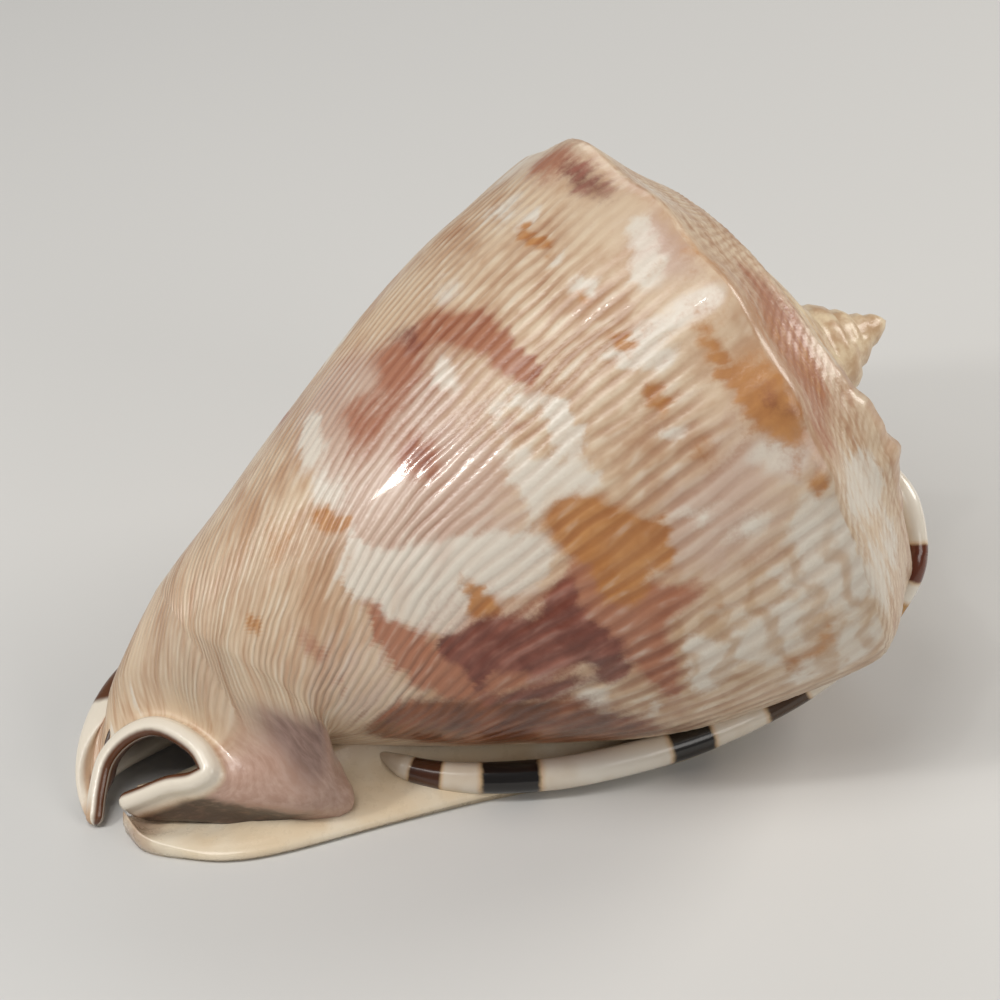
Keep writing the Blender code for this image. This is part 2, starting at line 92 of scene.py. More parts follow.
EDGE_AT = (0.00, 0.25, 0.50, 0.75, 1.00, 1.35, 2.00)
COLUMELLA_EDGE = ((0.100, -0.020, 0.045), (0.220, 0.020, 0.035), (0.370, 0.048, 0.030),
                  (0.520, 0.060, 0.030), (0.660, 0.060, 0.030), (0.765, 0.045, 0.045),
                  (0.800, 0.010, 0.070))
LIP_INNER_EDGE = ((0.100, 0.035, 0.028), (0.220, 0.075, 0.028), (0.370, 0.104, 0.028),
                  (0.520, 0.116, 0.028), (0.660, 0.112, 0.030), (0.765, 0.075, 0.045),
                  (0.800, 0.030, 0.070))
LIP_RIM = ((0.060, 0.125, 0.055), (0.190, 0.215, 0.045), (0.345, 0.282, 0.040),
           (0.500, 0.335, 0.040), (0.660, 0.366, 0.045), (0.760, 0.340, 0.075),
           (0.815, 0.235, 0.130))
MOUTH_CENTRE = (0.064, -0.033, 0.072)
MOUTH_NORMAL = (-0.621, -0.351, 0.701)
MOUTH_RIGHT = (0.491, -0.871, 0.000)
MOUTH_RIM = ((-0.033, -0.086), (-0.044, -0.059), (-0.051, -0.027), (-0.043, 0.000),
             (-0.017, 0.027), (0.026, 0.033), (0.059, 0.025), (0.073, 0.013),
             (0.065, 0.001), (0.035, -0.020), (0.012, -0.042), (-0.002, -0.055))
FASCIOLE_BULGE = (0.074, -0.072, -0.040)
FLANK_BULGE = (-0.022, 0.012, 0.008)
SHIELD_MARGIN = ((0.020, -0.060, 0.008), (0.030, -0.098, 0.004), (0.066, -0.126, 0.004),
                 (0.110, -0.148, 0.004), (0.170, -0.158, 0.004), (0.290, -0.160, 0.005),
                 (0.400, -0.166, 0.008), (0.500, -0.178, 0.012), (0.620, -0.190, 0.016),
                 (0.720, -0.170, 0.030))
SHIELD_ROOT = ((0.045, -0.030, 0.030), (0.070, -0.045, 0.034), (0.110, -0.060, 0.036),
               (0.160, -0.070, 0.040), (0.220, -0.075, 0.048), (0.300, -0.075, 0.056),
               (0.400, -0.095, 0.060), (0.500, -0.120, 0.060), (0.610, -0.140, 0.060),
               (0.700, -0.120, 0.060))
SHIELD_INNER = ((0.050, -0.010, 0.016), (0.085, -0.012, 0.018), (0.130, -0.005, 0.020),
                (0.180, 0.005, 0.020), (0.240, 0.015, 0.020), (0.320, 0.025, 0.020),
                (0.420, 0.030, 0.020), (0.520, 0.030, 0.020), (0.620, 0.025, 0.022),
                (0.700, 0.010, 0.034))
SHIELD_EDGE = 0.008
OLD_LIP = ((0.300, -0.080, 0.036, 0.010), (0.330, -0.118, 0.030, 0.014),
           (0.380, -0.150, 0.027, 0.017), (0.470, -0.180, 0.026, 0.018),
           (0.565, -0.192, 0.028, 0.018), (0.655, -0.196, 0.036, 0.018),
           (0.740, -0.200, 0.057, 0.018), (0.805, -0.208, 0.100, 0.018),
           (0.855, -0.213, 0.155, 0.018), (0.886, -0.206, 0.212, 0.018),
           (0.896, -0.165, 0.255, 0.017), (0.890, -0.110, 0.280, 0.012))
HOLLOW = ((0.14, 12, 0.52), (0.22, 40, 0.47), (0.34, 90, 0.47), (0.46, 150, 0.55),
          (0.52, 158, 0.72), (0.58, 150, 0.88), (0.68, 90, 0.91), (0.78, 40, 0.915),
          (0.85, 14, 0.90), (0.90, 6, 0.80))
LIP_BLEND = (0.56, 0.70)
LIP_FACE = 0.80
LIP_BACK, WALL_END = 0.08, 0.86
WALL_FROM, WALL_TO = 8.0, 250.0
COLUMELLA_GROWTH = 304.0
MOUTH_SHARE_OUTER = ((0.00, 0.08, 0.40, 0.62, 0.86, 1.00), (0.00, 0.09, 0.42, 0.60, 0.82, 1.00))
MOUTH_SHARE_INNER = ((0.00, 0.112, 0.27, 0.416, 0.464, 0.544, 0.624, 0.68, 0.80, 1.00),
                     (1.00, 0.93, 0.80, 0.66, 0.60, 0.40, 0.22, 0.12, 0.03, 0.00))
LINING_END = 4 / 13         # share of the body over which the canal's lining becomes the hollow
RIM_END = 2 / 9             # share of the canal over which its wall thins behind the rim

# ---- mesh density
LIP_COLUMNS, WALL_COLUMNS, BELLY_COLUMNS = 26, 420, 44
INNER_COLUMNS = 82
CANAL_ROWS, BODY_ROWS, RAMP_ROWS = 26, 92, 26
SPIRE_ROWS = 40
SHIELD_ROWS, SHIELD_STEPS, ROLL_STEPS = 160, 26, 6
OLD_LIP_ROWS, OLD_LIP_SIDES = 260, 28
SHOULDER_PASSES, NECK_PASSES = 9, 110

# ---- relief, in shell lengths
RIB_DEPTH = 0.0024
RIB_SHARPNESS = 0.75        # under 1 the crests are broad and the grooves narrow
FINE_RIBS_BELOW = 0.54      # ring under which the ribs are too fine to be carried by the mesh
FINE_RIBS_BLEND = 0.12
SWELLING, GROWTH_LINES = 0.0012, 0.0011
SUTURE_RADIUS = 0.312       # of the last whorl's suture at the lip
SUTURE_STEP = 0.016
CALLUS, SPIRE_WAIST, SPIRE_TIP = 0.026, 0.016, 0.005


def rise(low, high, value):
    """0 below low, 1 above high, smooth between."""
    t = np.clip((value - low) / (high - low), 0.0, 1.0)
    return t * t * (3.0 - 2.0 * t)


def fall(low, high, value):
    """1 below low, 0 above high, smooth between."""
    return 1 - rise(low, high, value)


def spline_parts(at, stations, values):
    """Each point's span, its length and how far along it the point is, and the slope at each station."""
    stations = np.asarray(stations, float)
    gaps = np.diff(stations)[:, None]
    slopes = np.diff(values, axis=-2) / gaps
    before, after = slopes[..., :-1, :], slopes[..., 1:, :]
    middle = (before * gaps[1:] + after * gaps[:-1]) / (gaps[1:] + gaps[:-1])
    tangents = np.concatenate([slopes[..., :1, :], middle, slopes[..., -1:, :]], axis=-2)
    at = np.clip(np.asarray(at, float), stations[0], stations[-1])
    span = np.clip(np.searchsorted(stations, at, side="right") - 1, 0, len(stations) - 2)
    gap = gaps[span]
    return span, gap, (at - stations[span])[..., None] / gap, tangents


def spline_through(at, stations, values):
    """Smooth curve through the values, each with the mean slope of its two sides."""
    values = np.asarray(values, float)
    flat = values.ndim == 1
    values = values.reshape(len(stations), -1)
    span, gap, t, tangents = spline_parts(at, stations, values)
    result = hermite(t, values[span], tangents[span] * gap, values[span + 1], tangents[span + 1] * gap)
    return result[..., 0] if flat else result


def spline_each(at, stations, tables):
    """The same smooth curve, where each point has a table of its own (point, station, axis)."""
    span, gap, t, tangents = spline_parts(at, stations, tables)
    each = np.arange(len(at))
    return hermite(t, tables[each, span], tangents[each, span] * gap,
                   tables[each, span + 1], tangents[each, span + 1] * gap)


def hermite(t, start, start_slope, end, end_slope):
    return ((2 * t ** 3 - 3 * t ** 2 + 1) * start + (t ** 3 - 2 * t ** 2 + t) * start_slope
            + (3 * t ** 2 - 2 * t ** 3) * end + (t ** 3 - t ** 2) * end_slope)


def bezier(t, a, b, c, d):
    t = np.asarray(t)[..., None]
    return (1 - t) ** 3 * a + 3 * t * (1 - t) ** 2 * b + 3 * t * t * (1 - t) * c + t ** 3 * d


def unit(vectors):
    vectors = np.asarray(vectors, float)
    return vectors / np.maximum(np.linalg.norm(vectors, axis=-1, keepdims=True), 1e-9)


# ---- the coiled wall
def knob_height(growth, ring):
    across = np.where(ring < 1, (ring - 1) / KNOB_REACH[0], (ring - 1) / KNOB_REACH[1])
    height = 0.0 * growth
    for angle, tall, wide in KNOBS:
        height = height + tall * np.exp(-((growth - angle) / wide) ** 2 - across ** 2)
    return height


def wall(growth, ring):
    """Station along the axis and radius."""
    growth, ring = np.broadcast_arrays(np.asarray(growth, float), np.asarray(ring, float))
    swell = spline_through(growth, SWELL_GROWTH, SWELL_RISE)
    shoulder = SHOULDER_RADIUS * WHORL_GROWTH ** (-growth / 360.0)
    shoulder_at = 1.0 - SPIRE_HEIGHT * SPIRE_GROWTH ** (-growth / 360.0)
    below = np.clip(ring, 0, 1)
    ramp = np.clip(ring - 1, 0, 1)
    station = NECK_STATION + (shoulder_at - NECK_STATION) * below
    station = station + (CLOSING_STATION + swell - shoulder_at) * (1 - (1 - ramp) ** 1.15)
    radius = shoulder * spline_through(below, PROFILE_AT, PROFILE_RADIUS)
    radius = radius + (CLOSING_RADIUS - shoulder) * ramp ** 0.85
    old_side = rise(180, 240, growth) * rise(0.1, 0.4, ring)
    old_side = old_side - 0.6 * rise(225, 250, growth) * rise(0.6, 1.0, ring)
    radius = radius * (1 + 0.12 * old_side * fall(1.2, 2.0, ring))
    lip_side = fall(80, 150, growth) * fall(0.02, 0.20, ring)
    radius = radius * (1 + 0.20 * lip_side)
    knob = knob_height(growth, ring)
    spire = CLOSING_RADIUS * (1 - np.clip(ring - 2, 0, 1))
    spire_at = spline_through(-spire, [-r for r in SPIRE_RADIUS], SPIRE_STATION)
    spire_at = spire_at + swell * rise(0.06, 0.25, spire)
    station = np.where(ring > 2, spire_at, station + 0.35 * knob)
    radius = np.where(ring > 2, spire, radius + 0.9 * knob)
    return station, radius


def place(station, y, z):
    """From the axis frame to the resting frame."""
    c, s = cos(radians(AXIS_TILT)), sin(radians(AXIS_TILT))
    lean = rise(0.72, 1.0, station)
    return np.stack([station * c - z * s, y + SPIRE_LEAN[0] * lean,
                     station * s + z * c + AXIS_RISE + SPIRE_LEAN[1] * lean], -1)


def wall_point(growth, ring, depth=1.0):
    station, radius = wall(growth, ring)
    angle = np.radians(LIP_ANGLE + np.asarray(growth, float))
    return place(station, depth * radius * np.cos(angle), depth * radius * np.sin(angle))


def column_growth(share):
    inside = WALL_FROM + (WALL_TO - WALL_FROM) * (share - LIP_BACK) / (WALL_END - LIP_BACK)
    before = WALL_FROM * share / LIP_BACK
    after = WALL_TO + (COLUMELLA_GROWTH - WALL_TO) * (share - WALL_END) / (1 - WALL_END)
    return np.where(share < LIP_BACK, before, np.where(share > WALL_END, after, inside))


def edge_point(table, ring):
    return spline_through(ring, EDGE_AT, table)


def outer_points(shares, rings):
    """Points of the outer half: share 0 lip rim, then over the back, 1 columella edge."""
    coiled = wall_point(column_growth(shares), rings)
    shaped = coiled.copy()
    lip = shares < LIP_BACK
    rim = edge_point(LIP_RIM, rings[lip])
    root = wall_point(WALL_FROM, rings[lip])
    leave = unit(root - wall_point(WALL_FROM + 2, rings[lip]))
    gap = np.linalg.norm(rim - root, axis=1, keepdims=True)
    shaped[lip] = bezier(shares[lip] / LIP_BACK, rim, rim + np.array([0, 0.25, 0.75]) * gap * 0.55,
                         root + leave * gap * 0.35, root)
    belly = shares > WALL_END
    edge = edge_point(COLUMELLA_EDGE, rings[belly])
    root = wall_point(WALL_TO, rings[belly])
    leave = unit(root - wall_point(WALL_TO - 2, rings[belly]))
    gap = np.linalg.norm(edge - root, axis=1, keepdims=True)
    shaped[belly] = bezier((shares[belly] - WALL_END) / (1 - WALL_END), root, root + leave * gap * 0.38,
                           edge + np.array([0, -1, -0.05]) * gap * 0.45, edge)
    return shaped + (coiled - shaped) * rise(1.1, 2.0, rings)[:, None]


def inner_growth(share):
    return COLUMELLA_GROWTH + (360 - COLUMELLA_GROWTH) * share


def hollow_points(shares, edge, lip, rings):
    """From the columella edge round the hollow of the last whorl to the lip's inner edge."""
    tables = [edge, edge + [0, 0.006, 0.03]]
    tables += [wall_point(angle, rings, depth) for _, angle, depth in HOLLOW]
    tables += [lip + [0, 0.012, 0.022], lip]
    tables = np.stack(tables, 1)
    closed = np.linspace(0, 1, tables.shape[1])[:, None]
    bridge = edge[:, None] + (lip - edge)[:, None] * closed + np.array([0, 0, 0.012]) * np.sin(pi * closed)
    tables = tables + (bridge - tables) * rise(0.95, 1.40, rings)[:, None, None]
    return spline_each(shares / LIP_FACE, [0.0, 0.05] + [row[0] for row in HOLLOW] + [0.96, 1.0], tables)


def inner_points(shares, rings):
    """Points of the inner half: 0 columella edge, round the hollow, lip face, 1 lip rim."""
    coiled = wall_point(inner_growth(shares), rings)
    edge = edge_point(COLUMELLA_EDGE, rings)
    lip = edge_point(LIP_INNER_EDGE, rings)
    rim = edge_point(LIP_RIM, rings)
    gap = np.linalg.norm(rim - lip, axis=1, keepdims=True)
    face = bezier((shares - LIP_FACE) / (1 - LIP_FACE), lip,
                  lip + gap * [0, 0.12, 0] - lip[:, 2:] * [0, 0, 1.6],
                  rim - gap * [0, 0.30, 0] - rim[:, 2:] * [0, 0, 1.6], rim)
    shaped = np.where((shares > LIP_FACE)[:, None], face, hollow_points(shares, edge, lip, rings))
    return shaped + (coiled - shaped) * rise(1.1, 2.0, rings)[:, None]


# ---- the siphonal canal
def mouth_point(along, turn):
    """A point on the rolled rim: turn 0 is its outer side, 90 the crest, 180 the inner side."""
    normal = unit(MOUTH_NORMAL)
    right = unit(np.asarray(MOUTH_RIGHT) - normal * np.dot(MOUTH_RIGHT, normal))
    up = np.cross(normal, right)
    rim = np.asarray(MOUTH_RIM, float)
    reach = np.concatenate([[0.0], np.cumsum(np.linalg.norm(np.diff(rim, axis=0), axis=1))])
    half = RIM_THICKNESS / 2
    travel = np.asarray(along, float) * (reach[-1] + 2 * half) - half
    inside = np.clip(travel, 0, reach[-1])
    step = 1e-3
    ahead = spline_through(np.clip(inside + step, 0, reach[-1]), reach, rim)
    behind = spline_through(np.clip(inside - step, 0, reach[-1]), reach, rim)
    heading = unit(ahead - behind)
    outward = np.stack([-heading[:, 1], heading[:, 0]], -1)
    centre = spline_through(inside, reach, rim) + heading * (travel - inside)[:, None]
    beyond = np.abs(travel - inside) / half
    width = half * np.sqrt(np.clip(1 - beyond ** 2, 0, 1))
    flat = centre + outward * (width * cos(radians(turn)))[:, None]
    return (np.asarray(MOUTH_CENTRE) + flat[:, :1] * right + flat[:, 1:] * up
            + normal * (width * sin(radians(turn)))[:, None])


def canal_row(t, mouth, along, neck, neck_slope):
    """Rows between the mouth and the neck, leaving the mouth inward and turning along the shell.

    The flank and the fasciole swell in between; the number before each swelling makes its peak 1.
    """
    gap = np.linalg.norm(neck - mouth, axis=1, keepdims=True)
    inward = np.broadcast_to(-unit(MOUTH_NORMAL), mouth.shape)
    lip_way = np.array([-0.15, 0.93, 0.30])
    fold_way = unit(np.array([0.55, -0.55, -0.60]))
    lip_share = fall(0.02, 0.16, along)[:, None]
    fold_share = (0.8 * rise(0.52, 0.75, along))[:, None]
    start = unit(inward * (1 - lip_share) + lip_way * lip_share)
    start = unit(start * (1 - fold_share) + fold_way * fold_share)
    bulge = (rise(0.56, 0.80, along) * (1 - 0.5 * rise(0.90, 1.0, along)))[:, None]
    flank = (rise(0.02, 0.12, along) * fall(0.30, 0.50, along))[:, None]
    row = hermite(t, mouth, start * gap * 1.1, neck, unit(neck_slope) * gap)
    row = row + 16 * (t * (1 - t)) ** 2 * np.array(FLANK_BULGE) * flank
    return row + 17.5 * t ** 3 * (1 - t) ** 1.5 * np.array(FASCIOLE_BULGE) * bulge


def neck_ring(share):
    """Ring at which the canal hands over to the body: later on the columella side."""
    return 0.05 + 0.13 * rise(0.45, 0.80, share)


# ---- ribs
def rib_count(growth, ring):
    """Ribs passed since the lip.  They widen away from it, and lean toward it up the body."""
    up = np.maximum(ring, 0.05)
    along = (0.43 * growth - 0.00057 * growth ** 2) * (1 - 1.3 * np.maximum(0.5 - up, 0) ** 2)
    return along + 0.086 * growth * up + 4.5 * np.log(up) - 11.5 * up


def wavy(*angles):
    """A smooth irregular wave between about -1 and 1, the same each run."""
    total = 0.0
    for count, angle in enumerate(angles):
        total = total + np.sin(angle + 1.7 * count) + 0.6 * np.sin(1.9 * angle + 2.3 + count)
    return total / (1.6 * len(angles))


# ---- rows and columns of the body
def outer_shares():
    """Columns of the outer half, at even steps of the rib count over the wall."""
    growth = np.linspace(WALL_FROM, WALL_TO, 2000)
    count = rib_count(growth, 0.7)
    even = np.interp(np.linspace(count[0], count[-1], WALL_COLUMNS + 1), count, growth)
    over = LIP_BACK + (WALL_END - LIP_BACK) * (even - WALL_FROM) / (WALL_TO - WALL_FROM)
    lip = np.linspace(0, LIP_BACK, LIP_COLUMNS + 1)[:-1]
    belly = np.linspace(WALL_END, 1, BELLY_COLUMNS + 1)[1:]
    return np.concatenate([lip, over, belly])


def body_ways():
    """(how far through the body, ring or None) of each row past the canal, up to the spire."""
    for way in np.linspace(0, 1, BODY_ROWS + 1)[:-1] ** 1.5:
        yield way, None
    for ring in np.linspace(1, 2, RAMP_ROWS + 1):
        yield 1.0, ring


def rings_of(starts, way, ring):
    return starts + (1 - starts) * way if ring is None else np.full_like(starts, ring)


def outer_grid(shares, along):
    """Points and ring values of the outer half, rows by columns, from the mouth to the spire."""
    starts = neck_ring(shares)
    neck = outer_points(shares, starts)
    ahead = outer_points(shares, starts + 0.02)
    mouth = mouth_point(along, 0)
    points, rings = [], []
    for t in np.linspace(0, 1, CANAL_ROWS + 1)[:-1]:
        points.append(canal_row(t, mouth, along, neck, ahead - neck))
        rings.append(starts - CANAL_RINGS * (1 - t))
    for way, ring in body_ways():
        at = rings_of(starts, way, ring)
        points.append(outer_points(shares, at))
        rings.append(at)
    return np.array(points), np.array(rings)


def inner_grid(shares, along, outer, shares_outer):
    """The inner half.  In the canal it lies one wall's thickness inside the outer half."""
    same = np.interp(along, *MOUTH_SHARE_OUTER[::-1])
    starts = neck_ring(same)
    ts = np.linspace(0, 1, CANAL_ROWS + 1)[:-1]
    thickness = np.full(len(outer), CANAL_WALL)
    thickness[:CANAL_ROWS] = np.interp(ts, (0, RIM_END), (RIM_THICKNESS, CANAL_WALL))
    normals = unit(np.cross(np.gradient(outer, axis=0), np.gradient(outer, axis=1)))
    edge = np.clip(np.minimum(along, 1 - along) / 0.05, 0, 1)
    taper = np.sqrt(1 - (1 - edge) ** 2)[:, None]
    neck = inner_points(shares, starts)
    ahead = inner_points(shares, starts + 0.02)
    on_lip = rise(LIP_BLEND[0], LIP_BLEND[1], shares)[:, None]
    points, rings = [], []

    def lining(row):
        at = np.stack([np.interp(same, shares_outer, outer[row][:, i]) for i in range(3)], -1)
        inward = np.stack([np.interp(same, shares_outer, normals[row][:, i]) for i in range(3)], -1)
        return at + unit(inward) * thickness[row] * taper

    mouth = mouth_point(along, 180)
    for row, t in enumerate(ts):
        inside = mouth if row == 0 else lining(row)
        face = canal_row(t, mouth, along, neck, ahead - neck)
        points.append(inside * (1 - on_lip) + face * on_lip)
        rings.append(starts - CANAL_RINGS * (1 - t))
    for row, (way, ring) in enumerate(body_ways()):
        at = rings_of(starts, way, ring)
        hollow = inner_points(shares, at)
        ease = 1.0
        if ring is None:
            ease = np.maximum(rise(0, LINING_END, way), on_lip)
        points.append(lining(CANAL_ROWS + row) * (1 - ease) + hollow * ease)
        rings.append(at)
    return np.array(points), np.array(rings)


# ---- relief
def ribbed_share(share, growth, ring, canal):
    """How strongly the ribs show: they die out at the canal's arch, the fasciole and the lip."""
    on_wall = rise(LIP_BACK * 0.9, LIP_BACK * 1.6, share)
    near_mouth = rise(0.16, 0.55, canal)
    before_neck = fall(0.72, 0.88, canal - 2.4 * (share - 0.68)) * fall(0.94, 1.0, canal)
    fasciole = 1 - rise(0.60, 0.68, share) * before_neck
    top = 1 - 0.45 * rise(0.98, 1.15, ring) - 0.35 * rise(1.75, 2.1, ring)
    knobs = fall(178, 200, growth) * rise(0.84, 0.93, ring) * fall(1.1, 1.3, ring)
    return on_wall * near_mouth * fasciole * top * (1 - 0.8 * knobs)


def rib_relief(phase, ribbed, ring):
    """Rounded ribs with narrow grooves between them; all of it cuts inward."""
    crest = (0.5 + 0.5 * np.cos(2 * pi * phase)) ** RIB_SHARPNESS
    carried = rise(FINE_RIBS_BELOW - FINE_RIBS_BLEND, FINE_RIBS_BELOW, ring)
    return RIB_DEPTH * ribbed * carried * (crest - 1)


def outer_relief(share, growth, ring, canal, phase, ribbed):
    relief = rib_relief(phase, ribbed, ring)
    # slow swellings of growth, along the ribs
    relief = relief + SWELLING * ribbed * (wavy(0.42 * phase, 2.1 * ring) - 0.6)
    # growth lines round the fasciole and the canal's arch
    fasciole = rise(0.55, 0.68, share) * fall(0.9, 1.0, canal) * rise(0.02, 0.1, canal)
    lines = np.sin(2 * pi * 13 * canal + 1.2 * wavy(40 * share, 9 * canal))
    return relief + GROWTH_LINES * fasciole * lines


def suture_relief(radius, growth):
    """Each whorl's edge stands proud of the older whorl inside it, which rises to its own shoulder.

    The callus is a row of lumps beside the spire.  The spire is slimmer at its waist and tip.
    """
    turns = np.log(SUTURE_RADIUS / np.maximum(radius, 0.004)) / np.log(WHORL_GROWTH) - growth / 360.0
    way = np.mod(turns, 1.0)
    size = np.clip(radius / CLOSING_RADIUS, 0, 1) ** 0.6
    drop = rise(0.0, 0.05, way) * fall(0.10, 0.50, way)
    knobs = np.exp(-((way - 0.45) / 0.16) ** 2) * np.cos(np.radians(growth * 12))
    worn = 0.003 * wavy(0.21 * growth + 9 * way, 0.13 * growth - 14 * way, 21 * way)
    relief = size * (0.0015 * knobs - SUTURE_STEP * drop + 0.4 * worn)
    callus = CALLUS * np.exp(-((growth - 193) / 17) ** 2 - ((radius - 0.245) / 0.030) ** 2)
    callus = callus * (1 + 0.35 * wavy(0.45 * growth, 60 * radius))
    waist = SPIRE_WAIST * np.exp(-((radius - 0.085) / 0.035) ** 2)
    tip = waist + SPIRE_TIP * np.exp(-((radius - 0.030) / 0.018) ** 2)
    return np.where(turns > 0, relief, 0.0) * rise(0.004, 0.03, radius) + callus - tip, turns


# ---- colour marks: growth, ring, half width in degrees, half width in rings, strength
WHITE_MARKS = (
    (171, 0.365, 8, 0.040, 1.0), (180, 0.395, 8, 0.050, 1.0), (189, 0.408, 6, 0.026, 1.0),
    (176, 0.440, 8, 0.035, 0.7), (184, 0.530, 4.5, 0.045, 0.9), (178, 0.550, 4, 0.035, 0.8),
    (175, 0.495, 5, 0.040, 0.8), (164, 0.610, 7, 0.028, 0.9), (170, 0.660, 4, 0.045, 0.9),
    (160, 0.685, 5, 0.022, 0.9), (153, 0.695, 5, 0.014, 0.7), (149, 0.615, 5, 0.016, 0.6),
    (147, 0.665, 4, 0.018, 0.7), (127, 0.335, 12, 0.030, 0.35), (137, 0.350, 6, 0.030, 0.5),
    (116, 0.370, 7, 0.022, 0.8), (108, 0.395, 5, 0.016, 0.7), (155, 0.345, 5, 0.014, 0.8),
    (165, 0.340, 5, 0.030, 0.9), (133, 0.580, 5, 0.022, 0.8), (112, 0.655, 6, 0.045, 0.6),
    (104, 0.830, 5, 0.035, 0.7), (112, 0.845, 1.5, 0.030, 0.7), (127, 0.830, 1.5, 0.030, 0.6),
    (136, 0.835, 3, 0.024, 0.7), (151, 0.835, 3, 0.045, 0.9), (156, 0.865, 2, 0.030, 0.7),
    (168, 0.820, 2, 0.022, 0.6), (133, 0.960, 4, 0.030, 0.7), (140, 0.935, 4, 0.030, 0.9),
    (151, 0.955, 2.5, 0.050, 1.0), (181, 0.950, 3, 0.045, 0.9), (195, 0.970, 6, 0.030, 0.9),
    (206, 0.960, 6, 0.030, 0.8), (204, 0.900, 3, 0.030, 0.7), (212, 0.860, 3, 0.050, 0.8),
    (218, 0.800, 3.5, 0.060, 0.9), (222, 0.720, 5, 0.030, 0.8), (213, 0.725, 4, 0.020, 0.7),
    (228, 0.860, 5, 0.050, 0.8), (207, 0.785, 3, 0.020, 0.7), (226, 0.960, 6, 0.040, 0.8),
    (212, 0.585, 3, 0.020, 0.7), (213, 0.500, 3, 0.025, 0.7), (222, 0.560, 3, 0.030, 0.7),
    (232, 0.565, 6, 0.018, 0.7), (230, 0.635, 5, 0.016, 0.7), (192, 0.860, 3, 0.040, 0.5),
    (185, 0.810, 2.5, 0.040, 0.5), (195, 1.35, 7, 0.30, 0.7), (213, 1.15, 8, 0.18, 0.8),
    (214, 1.60, 7, 0.18, 0.7), (120, 1.25, 7, 0.20, 0.5), (197, 1.65, 5, 0.15, 0.7))
ORANGE_MARKS = (
    (135, 0.240, 22, 0.050, 0.42), (158, 1.30, 16, 0.40, 0.35), (170, 1.55, 10, 0.25, 0.35),
    (140, 1.05, 14, 0.12, 0.30),
    (177, 0.630, 4.5, 0.034, 1.0), (182, 0.655, 6, 0.038, 1.1), (188, 0.665, 6, 0.032, 1.0),
    (184, 0.705, 4, 0.020, 0.9), (194, 0.660, 5, 0.032, 0.7), (189, 0.735, 4.5, 0.014, 1.0),
    (185, 0.750, 2, 0.010, 0.8), (186, 0.463, 4.5, 0.014, 1.0), (191, 0.462, 2, 0.022, 0.8),
    (144, 0.322, 4.5, 0.015, 1.0), (148, 0.335, 2, 0.012, 0.6), (119, 0.825, 5.5, 0.011, 1.0),
    (113, 0.832, 2, 0.010, 0.7), (148, 0.830, 3, 0.011, 0.9), (160, 0.832, 3, 0.013, 1.0),
    (138, 0.822, 2.5, 0.009, 0.7), (173, 0.842, 2.5, 0.018, 0.6), (172, 0.970, 6, 0.034, 1.0),
    (163, 0.940, 8, 0.010, 0.7), (188, 0.985, 2.5, 0.018, 0.9), (207, 0.790, 3, 0.016, 0.6),
    (223, 0.895, 2.5, 0.026, 0.6), (224, 0.855, 4, 0.014, 0.7), (219, 0.925, 3, 0.012, 0.5),
    (213, 0.935, 4, 0.010, 0.4), (177, 0.865, 2, 0.030, 0.4), (163, 0.155, 7, 0.010, 0.7))
PURPLE_MARKS = (
    (195, 0.568, 5, 0.022, 1.1), (204, 0.572, 4.5, 0.026, 1.1), (199, 0.500, 6, 0.048, 0.9),
    (204, 0.440, 5, 0.040, 0.8), (198, 0.440, 4.5, 0.030, 0.8), (208, 0.530, 3.5, 0.050, 0.9),
    (210, 0.605, 4, 0.030, 0.7), (198, 0.397, 4, 0.015, 0.9), (216, 0.600, 3, 0.022, 0.8),
    (210, 0.420, 6, 0.013, 0.8), (217, 0.525, 2.5, 0.045, 0.8), (220, 0.470, 2.5, 0.045, 0.8),
    (111, 0.575, 7, 0.022, 0.45), (118, 0.587, 5, 0.016, 0.4), (117, 0.952, 7, 0.030, 0.65),
    (109, 0.960, 5, 0.020, 0.3), (146, 0.492, 6, 0.024, 0.45), (172, 0.975, 3.5, 0.022, 0.5))
